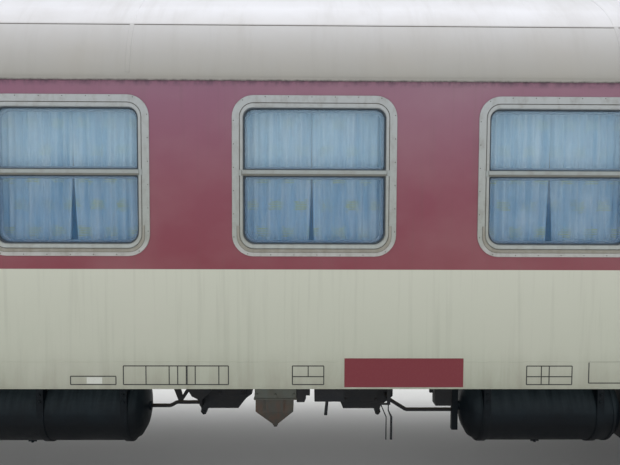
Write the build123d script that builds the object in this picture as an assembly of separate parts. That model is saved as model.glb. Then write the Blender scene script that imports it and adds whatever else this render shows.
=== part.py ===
from build123d import *
import math
import os

# Passenger coach on two bogies, lengths in millimetres.
# X runs along the coach, Y across it, Z up from the tips of the wheel flanges.
# The compartment side faces -Y and the corridor side faces +Y.

# Running gear
FLANGE_R = 503
TREAD_R = 475
AXLE_Z = FLANGE_R
PIVOT_X = 8600
WHEELBASE = 2500
JOURNAL_R = 60

# Body shell
BODY_HALF = 1440
END_HALF = 1330
SKIN = 80
SKIRT_Z = 1078
SILL_Z = 1083
FLOOR_Z = 1203
DECK_Z = 1263
GUTTER_Z = 3094
ROOF_Z = 4078
COVE_R = 700
GUTTER_T = 16
STRAIGHT_X = 10900
BULKHEAD_X = 11920
END_X = 12000
CEILING_Z = 3350
CEILING_HALF = 1290

# Windows: opening in the wall, frame, panes
WINDOW_PITCH = 1600
WINDOW_Z = 2476
FRAME_W, FRAME_H, FRAME_R = 1068, 1040, 140
FRAME_PROUD = 6
RING_INSET, RING_PROUD = 52, 10
LIP = 26
PANE_W = 911
HOLE_MARGIN = 44
GLASS_MARGIN = 10
UPPER_PANE = (2534, 2909, 14, 58)
LOWER_PANE = (2048, 2478, 66, 20)
GLASS_T = 8
SMALL_W, SMALL_R, SMALL_PANE, SMALL_PANE_R = 620, 100, 480, 50
SMALL_Z = 2680
COMPARTMENT_X = [WINDOW_PITCH * k for k in range(-5, 6)]
CORRIDOR_X = [2000 * k for k in range(-4, 5)]
WASHROOM_X = 9800

# Entrance doors in the slanted ends of the sides
SLANT_DEG = math.degrees(math.atan2(BODY_HALF - END_HALF, BULKHEAD_X - STRAIGHT_X))
DOOR_S = 140
DOOR_W = 754
DOOR_TOP_Z = 3020
LEAF_W = 357
LEAF_IN = 20
LEAF_T = 40
LEAF_GAP = 20
JAMB_GAP = 5
LEAF_Z = (1275, 3004)
LEAF_HOLE_Z = (2160, 2860)
LEAF_HOLE_R = 35
JAMB_PIN = (2, 95)
MID_PIN = (JAMB_GAP + LEAF_W + LEAF_GAP / 2, 17)
JAMB_PIN_R, MID_PIN_R = 6, 3
PIN_PLAY = 0.05
KNUCKLE_Z = (1400, 2900)

# Gangway
GANGWAY_HALF = 380
GANGWAY_TOP_Z = 3230
SLIDE_X = (11878, 11913)
SLIDE_HALF = 420

# Air tanks and the pipes between them
TANK_R = 240
TANK_DISH = 110
TANK_Z = 809
PIPE_Y = -1000
PIPE_R = 13.5
PIPE_BEND = 40

# Buffers and draw hook
BUFFER_Y = 875
BUFFER_Z = 1088
BUFFER_FACE_X = 12250
HEADSTOCK_X = (11530, 11630)

ENDS = (("a", -1), ("b", 1))
SIDES = (("compartment", -1), ("corridor", 1))

nodes = {}


def keep(name, *shapes):
    """Collects the solids of one node."""
    solids = nodes.setdefault(name, [])
    for shape in shapes:
        solids.extend(shape.solids())


def block(x, y, z):
    """Box between the two limits given on each axis."""
    size = Box(x[1] - x[0], y[1] - y[0], z[1] - z[0])
    return Pos(sum(x) / 2, sum(y) / 2, sum(z) / 2) * size


def plan_plate(points, z):
    """Outline seen from above, given as (x, y), between two heights."""
    return extrude(Pos(0, 0, z[0]) * make_face(Polyline(*points, close=True)), amount=z[1] - z[0])


def side_plate(points, y):
    """Outline seen from the side, given as (x, z), between two planes across."""
    return extrude(Plane.XZ.offset(-y[1]) * make_face(Polyline(*points, close=True)), amount=y[1] - y[0])


def end_plate(points, x):
    """Outline seen from the end, given as (y, z), between two planes along."""
    return extrude(Plane.YZ.offset(x[0]) * make_face(Polyline(*points, close=True)), amount=x[1] - x[0])


def rod(start, end, radius):
    """Round bar between two points."""
    run = Vector(*end) - Vector(*start)
    return extrude(Plane(origin=start, z_dir=run) * Circle(radius), amount=run.length)


def turned(points, axis_plane=Plane.YZ, axis=Axis.Y):
    """Profile given as (along the axis, radius), turned about the axis."""
    return revolve(axis_plane * make_face(Polyline(*points, close=True)), axis=axis)


def on_both_sides(shape):
    """The shape and its mirror image across the coach's centre plane."""
    return [shape, mirror(shape, about=Plane.XZ)]


def at_both_ends(shape):
    """The shape and its mirror image across the middle of the coach."""
    return [shape, mirror(shape, about=Plane.YZ)]


# Body section

def roof_section(inset, foot_z):
    """Cove, top and cove arcs of the roof moved inwards by inset, closed down to foot_z."""
    height = ROOF_Z - GUTTER_Z
    reach = BODY_HALF - COVE_R
    top_r = (reach ** 2 + height ** 2 - COVE_R ** 2) / (2 * (height - COVE_R))
    top_z = ROOF_Z - top_r
    lean = math.atan2(GUTTER_Z - top_z, reach)
    small = COVE_R - inset
    large = top_r - inset
    half = BODY_HALF - inset
    middle = (reach + small * math.cos(lean / 2), GUTTER_Z + small * math.sin(lean / 2))
    meet = (large * math.cos(lean), top_z + large * math.sin(lean))
    crown = (0, ROOF_Z - inset)

    def other(point):
        return (-point[0], point[1])

    return make_face(Curve() + [
        Line((half, foot_z), (half, GUTTER_Z)),
        ThreePointArc((half, GUTTER_Z), middle, meet),
        ThreePointArc(meet, crown, other(meet)),
        ThreePointArc(other(meet), other(middle), (-half, GUTTER_Z)),
        Line((-half, GUTTER_Z), (-half, foot_z)),
        Line((-half, foot_z), (half, foot_z)),
    ])


def body_plan(inset, end_x):
    """Plan of the body moved inwards by inset, cut off at end_x: straight sides and slanted ends."""
    slope = (BODY_HALF - END_HALF) / (BULKHEAD_X - STRAIGHT_X)
    narrow = BODY_HALF - inset - slope * (min(end_x, BULKHEAD_X) - STRAIGHT_X)
    quarter = [(STRAIGHT_X, BODY_HALF - inset), (min(end_x, BULKHEAD_X), narrow)]
    if end_x > BULKHEAD_X:
        quarter.append((end_x, narrow))
    front = quarter + [(x, -y) for x, y in reversed(quarter)]
    return front + [(-x, -y) for x, y in front]


def filled_shell(inset, foot_z, end_x):
    """Everything inside the shell moved inwards by inset, from foot_z to the roof."""
    length = extrude(Plane.YZ.offset(-end_x) * roof_section(inset, foot_z - 10), amount=2 * end_x)
    return length & plan_plate(body_plan(inset, end_x), (foot_z, ROOF_Z))


def make_roof():
    """Curved top of the body, whose slanted ends cut into the cove, open at both ends."""
    outside = filled_shell(0, GUTTER_Z, BULKHEAD_X)
    inside = filled_shell(SKIN, GUTTER_Z - 1, BULKHEAD_X + 1)
    keep("roof", outside - inside)


def make_gutters():
    """Rain strip along the foot of the roof on each side."""
    level = (GUTTER_Z - 8, GUTTER_Z + 8)
    strip = plan_plate(body_plan(-GUTTER_T, BULKHEAD_X), level) - plan_plate(body_plan(0, BULKHEAD_X + 1), level)
    keep("rain_gutters", strip)


def pane_block(x, z, width, height, y):
    """Square block centred on a window, between two planes across."""
    return block((x - width / 2, x + width / 2), y, (z - height / 2, z + height / 2))


def rounded_hole(x, low, high, width, radii, y):
    """Opening between two heights, its corners rounded by one radius at the foot and one at the top."""
    outline = Rectangle(width, high - low)
    for group, radius in zip((0, -1), radii):
        outline = fillet(outline.vertices().group_by(Axis.Y)[group], radius)
    return extrude(Plane.XZ.offset(-y[1]) * Pos(x, (low + high) / 2) * outline, amount=y[1] - y[0])


def window_list(name):
    """Windows of one side as (x, z, frame width and height, corner radius, openings in the frame), an
    opening as (foot, top, corner radius at the foot, at the top)."""
    rows = {"compartment": COMPARTMENT_X, "corridor": CORRIDOR_X}
    large = [(x, WINDOW_Z, FRAME_W, FRAME_H, FRAME_R, (UPPER_PANE, LOWER_PANE)) for x in rows[name]]
    pane = (SMALL_Z - SMALL_PANE / 2, SMALL_Z + SMALL_PANE / 2, SMALL_PANE_R, SMALL_PANE_R)
    small = [(x, SMALL_Z, SMALL_W, SMALL_W, SMALL_R, (pane,)) for x in (-WASHROOM_X, WASHROOM_X)]
    return large + small


def make_side_walls():
    for name, side in SIDES:
        across = sorted((side * (BODY_HALF - SKIN), side * BODY_HALF))
        wall = block((-STRAIGHT_X, STRAIGHT_X), across, (SKIRT_Z, GUTTER_Z))
        for x, z, width, height, _, _ in window_list(name):
            wall -= pane_block(x, z, width - 2 * HOLE_MARGIN, height - 2 * HOLE_MARGIN, across)
        keep("side_wall_" + name, wall)


def make_windows():
    """Frames with a flat flange on the wall, a raised ring on it and a lip in the wall's opening, and the
    glass behind the lip."""
    for name, side in SIDES:
        face = side * BODY_HALF
        flange = sorted((face, face + side * FRAME_PROUD))
        raised = sorted((face, face + side * RING_PROUD))
        lip = sorted((face, face - side * LIP))
        pane = sorted((face - side * LIP, face - side * (LIP + GLASS_T)))
        for x, z, width, height, radius, openings in window_list(name):
            hole_w, hole_h = width - 2 * HOLE_MARGIN, height - 2 * HOLE_MARGIN
            rim = Plane.XZ.offset(-flange[1]) * Pos(x, z) * RectangleRounded(width, height, radius)
            inset = RING_INSET
            ring = Plane.XZ.offset(-raised[1]) * Pos(x, z) * RectangleRounded(
                width - 2 * inset, height - 2 * inset, radius - inset)
            frame = extrude(rim, amount=FRAME_PROUD) + extrude(ring, amount=RING_PROUD)
            frame += pane_block(x, z, hole_w, hole_h, lip)
            opening_w = PANE_W if len(openings) == 2 else SMALL_PANE
            depth = (min(raised + lip), max(raised + lip))
            for low, high, low_r, high_r in openings:
                frame -= rounded_hole(x, low, high, opening_w, (low_r, high_r), depth)
            keep("window_frames_" + name, frame)
            glass_w, glass_h = hole_w - 2 * GLASS_MARGIN, hole_h - 2 * GLASS_MARGIN
            keep("window_glass_" + name, pane_block(x, z, glass_w, glass_h, pane))


def slant(s, n, end, side):
    """Plan point at s along a slanted side from its inboard corner and n inwards from its face."""
    turn = math.radians(SLANT_DEG)
    x = STRAIGHT_X + s * math.cos(turn) - n * math.sin(turn)
    y = BODY_HALF - s * math.sin(turn) - n * math.cos(turn)
    return (end * x, side * y)


def slant_block(s, n, z, end, side):
    """Block lined up with a slanted side."""
    corners = [slant(s[0], n[0], end, side), slant(s[1], n[0], end, side),
               slant(s[1], n[1], end, side), slant(s[0], n[1], end, side)]
    return plan_plate(corners, z)


def make_vestibule_sides():
    wall = plan_plate([(STRAIGHT_X, BODY_HALF), (BULKHEAD_X, END_HALF), (BULKHEAD_X, END_HALF - SKIN),
                       (STRAIGHT_X, BODY_HALF - SKIN)], (SKIRT_Z, GUTTER_Z))
    opening = slant_block((DOOR_S, DOOR_S + DOOR_W), (-50, SKIN + 50), (SKIRT_Z - 10, DOOR_TOP_Z), 1, 1)
    wall -= opening
    for shape in on_both_sides(wall):
        keep("vestibule_sides", *at_both_ends(shape))


def make_end_walls():
    whole = filled_shell(0, FLOOR_Z, END_X)
    wall = whole & block((BULKHEAD_X, END_X), (-END_HALF, END_HALF), (FLOOR_Z, ROOF_Z))
    wall -= block((BULKHEAD_X - 10, END_X + 10), (-GANGWAY_HALF, GANGWAY_HALF), (DECK_Z, GANGWAY_TOP_Z))
    for y in ((-END_HALF, -1010), (1010, END_HALF)):
        wall += block((BULKHEAD_X, END_X), y, (SKIRT_Z, FLOOR_Z))
    keep("end_wall_b", wall)
    keep("end_wall_a", mirror(wall, about=Plane.YZ))


def make_decks():
    keep("floor_pan", plan_plate(body_plan(SKIN, BULKHEAD_X), (FLOOR_Z, DECK_Z)))
    keep("ceiling", plan_plate(body_plan(BODY_HALF - CEILING_HALF, BULKHEAD_X), (CEILING_Z, CEILING_Z + 20)))


def make_interior():
    partition_y = (560, 590)
    keep("corridor_partition", block((-STRAIGHT_X + 40, STRAIGHT_X - 40), partition_y, (DECK_Z, CEILING_Z)))
    inner = BODY_HALF - SKIN
    outer_edge = [(-inner, DECK_Z), (-inner, GUTTER_Z), (-CEILING_HALF, CEILING_Z)]
    berth_wall = outer_edge + [(partition_y[0], CEILING_Z), (partition_y[0], DECK_Z)]
    for k in range(12):
        x = WINDOW_PITCH * (k - 5.5)
        keep("cross_partitions", end_plate(berth_wall, (x - 20, x + 20)))
    bulkhead = end_plate(outer_edge + [(-y, z) for y, z in reversed(outer_edge)], (STRAIGHT_X - 40, STRAIGHT_X))
    bulkhead -= block((STRAIGHT_X - 50, STRAIGHT_X + 10), (650, 1290), (DECK_Z, 3200))
    keep("vestibule_bulkheads", *at_both_ends(bulkhead))


def make_curtains():
    rows = {"compartment": COMPARTMENT_X, "corridor": CORRIDOR_X}
    for name, side in SIDES:
        inner = BODY_HALF - SKIN
        cloth = sorted((side * (inner - 20), side * (inner - 60)))
        rail_y = side * (inner - 40)
        for x in rows[name]:
            keep("curtains_" + name, block((x - 500, x + 500), cloth, (1960, 2985)))
            bar = block((x - 540, x + 540), (rail_y - 12, rail_y + 12), (2987, 3007))
            brackets = [block((x + dx - 8, x + dx + 8), sorted((side * inner, rail_y)), (2991, 3003))
                        for dx in (-530, 530)]
            keep("curtain_rails", bar + brackets)


# Underframe

def make_underframe():
    level = (SILL_Z, FLOOR_Z)
    inner = BODY_HALF - SKIN
    members = []
    for side in (-1, 1):
        members.append(block((-STRAIGHT_X, STRAIGHT_X), sorted((side * (inner - 90), side * inner)), level))
        members.append(block((-HEADSTOCK_X[0], HEADSTOCK_X[0]), sorted((side * 180, side * 260)), level))
    for y in (-1000, -700, 1000):
        members.append(block((-4800, 4800), (y - 40, y + 40), (SILL_Z, SILL_Z + 80)))
    for k in range(-6, 7):
        members.append(block((1200 * k - 40, 1200 * k + 40), (-inner + 90, inner - 90), level))
    for end in (-1, 1):
        bolster = block(sorted((end * (PIVOT_X - 250), end * (PIVOT_X + 250))), (-inner + 90, inner - 90), level)
        headstock = block(sorted((end * HEADSTOCK_X[0], end * HEADSTOCK_X[1])), (-1230, 1230), (953, FLOOR_Z))
        tie = block(sorted((end * (STRAIGHT_X - 80), end * STRAIGHT_X)), (-inner + 90, inner - 90), level)
        members += [bolster, headstock, tie]
        members.append(rod((end * PIVOT_X, 0, 950), (end * PIVOT_X, 0, SILL_Z), 60))
        for y in (-BUFFER_Y, BUFFER_Y):
            members.append(block(sorted((end * STRAIGHT_X, end * HEADSTOCK_X[0])), (y - 45, y + 45), level))
    frame = members[0]
    for member in members[1:]:
        frame += member
    keep("underframe", frame)


def make_steps():
    """Two treads between cheek plates under each entrance."""
    for end in (-1, 1):
        for side in (-1, 1):
            x = sorted((end * 11050, end * 11500))
            cheeks = [block((x[0], x[0] + 10), sorted((side * 1100, side * 1330)), (620, FLOOR_Z)),
                      block((x[1] - 10, x[1]), sorted((side * 1100, side * 1330)), (620, FLOOR_Z))]
            treads = [block(x, sorted((side * 1110, side * 1385)), (640, 665)),
                      block(x, sorted((side * 1060, side * 1330)), (930, 955))]
            keep("entrance_steps", cheeks[0] + cheeks[1] + treads[0] + treads[1])


def make_buffers():
    """Base plate, housing, plunger and round head, as (x from the headstock, radius)."""
    face = BUFFER_FACE_X - HEADSTOCK_X[1]
    profile = [(0, 0), (0, 110), (330, 110), (330, 85), (face - 30, 85), (face - 30, 225), (face, 225), (face, 0)]
    buffer = turned(profile, Plane.XY, Axis.X) + block((0, 30), (-160, 160), (-130, 112))
    for y in (-BUFFER_Y, BUFFER_Y):
        keep("buffers", *at_both_ends(Pos(HEADSTOCK_X[1], y, BUFFER_Z) * buffer))


def make_draw_gear():
    """Draw hook with its screw coupling hanging from it."""
    hook = side_plate([(11630, 1048), (11800, 1048), (11850, 1020), (11900, 1040), (11910, 1110), (11880, 1130),
                       (11865, 1075), (11830, 1070), (11810, 1120), (11630, 1128)], (-35, 35))
    collar = block((11630, 11650), (-110, 110), (978, 1178))
    links = [block((11815, 11845), sorted((side * 36, side * 60)), (760, 1110)) for side in (-1, 1)]
    screw = rod((11830, -75, 760), (11830, 75, 760), 28)
    bow = [block((11815, 11845), sorted((side * 76, side * 100)), (500, 790)) for side in (-1, 1)]
    foot = block((11815, 11845), (-100, 100), (470, 500))
    pin = rod((11830, -60, 1095), (11830, 60, 1095), 20)
    gear = hook + collar + pin + links + screw + bow + foot
    keep("draw_gear", *at_both_ends(gear))


def make_gangways():
    """Rubber tubes round the gangway opening, on the outside of each end."""
    reach = 120
    x = END_X + reach
    side_tubes = [rod((x, side * 600, 1340), (x, side * 600, 3330), reach) for side in (-1, 1)]
    top_tube = rod((x, -720, 3330), (x, 720, 3330), reach)
    keep("gangway_bellows", *at_both_ends(top_tube + side_tubes))
    track = block((SLIDE_X[0], BULKHEAD_X), (-430, 1200), (3262, 3300))
    keep("gangway_door_tracks", *at_both_ends(track))


# Entrance and gangway doors

def hinge_rod(pin, z, radius, end, side):
    """Upright round piece on a hinge line of an entrance."""
    x, y = slant(DOOR_S + pin[0], pin[1], end, side)
    return rod((x, y, z[0]), (x, y, z[1]), radius)


def leaf_window(middle, n, end, side):
    """Rounded window shape of a leaf, between two depths."""
    start, stop = (Vector(*slant(middle, depth, end, side), sum(LEAF_HOLE_Z) / 2) for depth in n)
    ahead = Vector(*slant(middle + 1, n[0], end, side), start.Z) - start
    outline = RectangleRounded(LEAF_W - 160, LEAF_HOLE_Z[1] - LEAF_HOLE_Z[0], LEAF_HOLE_R)
    return extrude(Plane(origin=start, x_dir=ahead, z_dir=stop - start) * outline, amount=n[1] - n[0])


def door_leaf(start, end, side):
    """One leaf with its window opening, and the pane in it."""
    middle = start + LEAF_W / 2
    leaf = slant_block((start, start + LEAF_W), (LEAF_IN, LEAF_IN + LEAF_T), LEAF_Z, end, side)
    leaf -= leaf_window(middle, (0, 100), end, side)
    return leaf, leaf_window(middle, (36, 44), end, side)


def make_folding_doors():
    """Two leaves to each entrance: the near one swings on the jamb, the far one is hinged to it."""
    near_s = DOOR_S + JAMB_GAP
    far_s = near_s + LEAF_W + LEAF_GAP
    for end_name, end in ENDS:
        for side_name, side in SIDES:
            near, near_pane = door_leaf(near_s, end, side)
            far, far_pane = door_leaf(far_s, end, side)
            for z in KNUCKLE_Z:
                lower, upper = (z, z + 39), (z + 40, z + 80)
                sleeve = hinge_rod(JAMB_PIN, lower, JAMB_PIN_R + 4, end, side)
                arm = slant_block((near_s, near_s + 8), (LEAF_IN + LEAF_T, JAMB_PIN[1]), lower, end, side)
                near += sleeve + arm
                near -= hinge_rod(JAMB_PIN, lower, JAMB_PIN_R + PIN_PLAY, end, side)
                plate = (LEAF_IN - 4, LEAF_IN)
                axis_s = DOOR_S + MID_PIN[0]
                near += hinge_rod(MID_PIN, lower, MID_PIN_R + 3, end, side)
                near += slant_block((axis_s - 30, axis_s), plate, lower, end, side)
                near += hinge_rod(MID_PIN, (lower[1], upper[1]), MID_PIN_R, end, side)
                far += hinge_rod(MID_PIN, upper, MID_PIN_R + 3, end, side)
                far += slant_block((axis_s, axis_s + 30), plate, upper, end, side)
                far -= hinge_rod(MID_PIN, (upper[0], upper[1] + 1), MID_PIN_R + PIN_PLAY, end, side)
            keep(f"door_{end_name}_{side_name}_near", near, near_pane)
            keep(f"door_{end_name}_{side_name}_far", far, far_pane)
            pin = hinge_rod(JAMB_PIN, (DECK_Z, DOOR_TOP_Z + 10), JAMB_PIN_R, end, side)
            bracket = slant_block((DOOR_S - 30, DOOR_S + 14), (SKIN, JAMB_PIN[1] + 12),
                                  (DOOR_TOP_Z - 8, DOOR_TOP_Z + 10), end, side)
            keep("door_pivots", pin + bracket)


def make_gangway_doors():
    for end_name, end in ENDS:
        x = sorted((end * SLIDE_X[0], end * SLIDE_X[1]))
        leaf = block(x, (-SLIDE_HALF, SLIDE_HALF), (1270, 3255))
        leaf -= block((x[0] - 5, x[1] + 5), (-250, 250), (2050, 2950))
        middle = sum(x) / 2
        keep(f"gangway_door_{end_name}", leaf, block((middle - 4, middle + 4), (-250, 250), (2050, 2950)))


# Equipment under the floor and on the ends

def dished_end(tip, way):
    """Half outline of a tank's dished end from the flat round its tip, as (x, radius)."""
    shares = (0.35, 0.65, 0.88, 1.0)
    curve = [(tip - way * TANK_DISH * (1 - math.sqrt(1 - share ** 2)), TANK_R * share) for share in shares]
    return [(tip, 0), (tip, 30)] + curve


def make_tanks():
    """Air tanks as (x of both tips, x of the straps), lying along the compartment side."""
    rows = (((-2940, -1192), (-2740, -1894, -1317)), ((1088, 2232), (1221, 2017)))
    hang = SILL_Z - TANK_Z
    strap = Circle(TANK_R + 8) + Pos(0, hang / 2) * Rectangle(2 * (TANK_R + 8), hang)
    for (first, last), straps in rows:
        tank = turned(dished_end(first, -1) + dished_end(last, 1)[::-1], Plane.XY, Axis.X)
        for x in straps:
            tank += extrude(Plane.YZ.offset(x - 25) * strap, amount=50)
        keep("air_tanks", Pos(0, PIPE_Y, TANK_Z) * tank)
    keep("air_tanks", block((1031, 1077), (-1020, -985), (630, SILL_Z)))


def make_drain_hoppers():
    """Collar and bowl, the bowl drawn in both ways to its outlet."""
    front, back = -1352, -1160
    collar = block((-397, -114), (front, back), (977, SILL_Z))
    bowl = side_plate([(-391, 977), (-135, 977), (-135, 892), (-236, 787), (-249, 769), (-272, 769),
                       (-286, 787), (-391, 892)], (front + 4, back - 4))
    bowl &= end_plate([(front, 977), (back, 977), (back, 892), (-1225, 769), (-1275, 769), (front, 892)],
                      (-400, -110))
    keep("drain_hoppers", collar + bowl)


def make_brake_gear():
    """Distributor housings with a lug each, the first with its gusset and hanger, then plates as
    (outline, y limits) and the pull loop."""
    first = side_plate([(-932, SILL_Z), (-456, SILL_Z), (-456, 860), (-498, 829), (-529, 791), (-559, 751),
                        (-795, 751), (-805, 706), (-823, 701), (-845, 721), (-840, 751), (-845, 795),
                        (-910, 852), (-932, 894)], (-900, -500))
    first += side_plate([(-919, SILL_Z), (-742, SILL_Z), (-742, 927), (-816, 849), (-816, 789), (-833, 815),
                         (-833, 850), (-890, 879), (-919, 927)], (-1012, -900))
    first += side_plate([(-1075, SILL_Z), (-1010, SILL_Z), (-960, 885), (-919, 950), (-900, 930), (-952, 851),
                         (-988, 851)], (-1012, -988))
    second = side_plate([(196, SILL_Z), (614, SILL_Z), (612, 844), (569, 806), (525, 778), (515, 748),
                         (520, 721), (509, 705), (494, 698), (481, 708), (478, 749), (235, 749), (212, 806),
                         (196, 814)], (-900, -500))
    plates = (
        ([(-113, SILL_Z), (-22, SILL_Z), (-22, 1004), (-49, 1004), (-49, 985), (-60, 958), (-113, 958)],
         (-1355, -1270)),
        ([(8, SILL_Z), (210, SILL_Z), (210, 962), (8, 962)], (-1355, -1270)),
        ([(868, SILL_Z), (892, SILL_Z), (892, 906), (868, 906)], (-1010, -990)),
        ([(902, SILL_Z), (1020, SILL_Z), (1020, 822), (902, 822)], (-1050, -950)),
        ([(86, 962), (106, 962), (97, 852), (75, 852)], (-1312, -1296)),
    )
    for outline, y in plates:
        keep("brake_gear", side_plate(outline, y))
    loop_y = (-1334, -1326)
    loop = block((503, 527), loop_y, (940, SILL_Z)) + block((455, 527), loop_y, (932, 945))
    loop += side_plate([(455, 940), (463, 940), (502, 850), (502, 690), (495, 690), (495, 848)], loop_y)
    loop += side_plate([(509, 940), (516, 940), (516, 895), (541, 850), (541, 690), (526, 690), (526, 850),
                        (509, 892)], loop_y)
    keep("brake_gear", first, second, loop)


def make_pipes():
    """Brake pipes from a tank to the first housing and from the second housing to the bracket."""
    rows = ([(-1192, PIPE_Y, TANK_Z), (-1045, PIPE_Y, TANK_Z), (-1000, PIPE_Y, 834), (-833, PIPE_Y, 834)],
            [(560, -900, 861), (560, PIPE_Y, 861), (693, PIPE_Y, 779), (1031, PIPE_Y, 779)])
    for points in rows:
        path = FilletPolyline(*points, radius=PIPE_BEND)
        start = Plane(origin=path @ 0, z_dir=path % 0)
        keep("brake_pipes", sweep(start * Circle(PIPE_R), path))


def make_battery_boxes():
    for y in ((-1300, -760), (760, 1300)):
        keep("battery_boxes", block((2300, 3900), y, (560, SILL_Z)))
    keep("battery_boxes", block((-4700, -3300), (760, 1300), (560, SILL_Z)))


def make_roof_vents():
    """Extractor vents along both sides of the roof, with sloped ends, seated on its curve."""
    inside = extrude(Plane.YZ.offset(-STRAIGHT_X) * roof_section(0, SKIRT_Z), amount=2 * STRAIGHT_X)
    outline = [(-190, 3900), (-190, 4010), (-110, 4070), (110, 4070), (190, 4010), (190, 3900)]
    for k in range(-5, 6):
        for y in (-600, 600):
            vent = Pos(WINDOW_PITCH * k, 0, 0) * side_plate(outline, (y - 90, y + 90))
            keep("roof_vents", vent - inside)


def make_fittings():
    """Grab rails beside the entrances and tail lamps on the ends."""
    for end in (-1, 1):
        for side in (-1, 1):
            for s in (70, 960):
                top = slant(s, -45, end, side)
                bar = rod((*top, 1400), (*top, 2300), 14)
                for z in (1400, 2280):
                    bar += slant_block((s - 9, s + 9), (-45, 0), (z, z + 20), end, side)
                keep("grab_rails", bar)
            lamp = rod((end * END_X, side * 1080, 1650), (end * (END_X + 60), side * 1080, 1650), 80)
            keep("tail_lamps", lamp)


# Bogies, built about their own middle and then moved along the coach

def make_bogie_frame():
    inner_y, outer_y = 880, 1010
    outline = [(-1900, 740), (-650, 740), (-560, 640), (560, 640), (650, 740), (1900, 740),
               (1900, 860), (1500, 900), (700, 900), (470, 820), (-470, 820), (-700, 900), (-1500, 900),
               (-1900, 860)]
    recess = [(-1860, 770), (-640, 770), (-545, 670), (545, 670), (640, 770), (1860, 770), (1860, 835),
              (1490, 870), (710, 870), (480, 790), (-480, 790), (-710, 870), (-1490, 870), (-1860, 835)]
    frame = side_plate(outline, (inner_y, outer_y)) + side_plate(outline, (-outer_y, -inner_y))
    frame -= side_plate(recess, (outer_y - 35, outer_y + 1)) + side_plate(recess, (-outer_y - 1, 35 - outer_y))
    for x in (-1, 1):
        frame += block(sorted((x * 1800, x * 1860)), (-inner_y, inner_y), (760, 860))
        frame += block(sorted((x * 380, x * 480)), (-inner_y, inner_y), (660, 820))
        for y in (-1, 1):
            frame += block(sorted((x * 290, x * 350)), sorted((y * outer_y, y * 1060)), (640, 760))
            frame += rod((x * 475, y * 450, 710), (x * 670, y * 450, 710), 90)
    return [frame]


def make_bolster():
    beam = block((-200, 200), (-1240, 1240), (860, 1020))
    beam += Pos(0, 0, 1050) * Cylinder(200, 62)
    for y in (-850, 850):
        beam += block((-120, 120), (y - 90, y + 90), (1020, 1055))
    beam -= Pos(0, 0, 1000) * Cylinder(62, 400)
    return [beam]


def make_springs():
    """Secondary coils on the spring plank, primary coils beside each axle box."""
    shapes = []
    for y in (-1125, 1125):
        for x in (-130, 130):
            shapes.append(rod((x, y, 400), (x, y, 860), 105))
    for axle in (-WHEELBASE / 2, WHEELBASE / 2):
        for y in (-945, 945):
            for x in (-270, 270):
                shapes.append(rod((axle + x, y, 440), (axle + x, y, 740), 80))
    return shapes


def make_planks():
    """Spring plank under the secondary coils and the links that it hangs by."""
    plank = block((-360, 360), (-1240, 1240), (340, 400))
    for x in (-320, 320):
        for y in (-1035, 1035):
            plank += block((x - 18, x + 18), (y - 18, y + 18), (400, 640))
    return [plank]


def make_axle_boxes():
    """Boxes on the axle ends, with a wing on each side that carries a primary coil."""
    shapes = []
    outline = [(-120, 400), (-350, 400), (-350, 440), (-150, 440), (-120, 600), (-70, 650),
               (70, 650), (120, 600), (150, 440), (350, 440), (350, 400), (120, 400), (70, 355), (-70, 355)]
    for axle in (-WHEELBASE / 2, WHEELBASE / 2):
        for side in (-1, 1):
            box = Pos(axle, 0, 0) * side_plate(outline, sorted((side * 885, side * 1020)))
            box += rod((axle, side * 1020, AXLE_Z), (axle, side * 1085, AXLE_Z), 115)
            box -= rod((axle, side * 880, AXLE_Z), (axle, side * 1052, AXLE_Z), JOURNAL_R + 1)
            shapes.append(box)
    return shapes


def make_brake_blocks():
    """Blocks on both sides of each wheel, hung from the frame and joined in pairs by a beam."""
    shapes = []
    reach_deg, clear, deep = 16, 8, 50
    for axle in (-1, 1):
        for outward in (-1, 1):
            centre = axle * WHEELBASE / 2
            near, far = TREAD_R + clear, TREAD_R + clear + deep
            low, high = math.radians(-reach_deg), math.radians(reach_deg)
            arc = [(centre + outward * near * math.cos(a), AXLE_Z + near * math.sin(a)) for a in (low, 0, high)]
            back = centre + outward * far
            block_face = make_face(Curve() + [
                ThreePointArc(*arc), Line(arc[2], (back, arc[2][1])),
                Line((back, arc[2][1]), (back, arc[0][1])), Line((back, arc[0][1]), arc[0])])
            x_beam = sorted((back, back + outward * 25))
            hanger_top = 760 if outward * axle > 0 else 800
            beam = block(x_beam, (-800, 800), (460, 500))
            for side in (-1, 1):
                y = sorted((side * 715, side * 805))
                beam += extrude(Plane.XZ.offset(-y[1]) * block_face, amount=y[1] - y[0])
                beam += block(x_beam, sorted((side * 740, side * 780)), (500, hanger_top))
            if outward * axle < 0:
                beam += block(x_beam, (-880, 880), (780, 820))
            shapes.append(beam)
    return shapes


def make_wheelset():
    """Axle with both wheels, profile as (y, radius) from the middle outwards."""
    half = [(0, 82), (680, 82), (680, FLANGE_R), (712, TREAD_R), (815, TREAD_R), (815, 395), (765, 395),
            (765, 130), (835, 130), (835, JOURNAL_R), (1050, JOURNAL_R)]
    profile = [(-1050, 0)] + [(-y, r) for y, r in reversed(half)] + half[1:] + [(1050, 0)]
    return [turned(profile)]


def make_bogies():
    builders = (("frame", make_bogie_frame), ("bolster", make_bolster), ("springs", make_springs),
                ("spring_plank", make_planks), ("axle_boxes", make_axle_boxes), ("brakes", make_brake_blocks))
    for name, end in ENDS:
        place = Pos(end * PIVOT_X, 0, 0)
        for part, build in builders:
            for shape in build():
                keep(f"bogie_{name}_{part}", place * shape)
        for number, step in ((1, -1), (2, 1)):
            axle = Pos(end * PIVOT_X + step * WHEELBASE / 2, 0, AXLE_Z)
            for shape in make_wheelset():
                keep(f"wheelset_{name}{number}", axle * shape)


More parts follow.
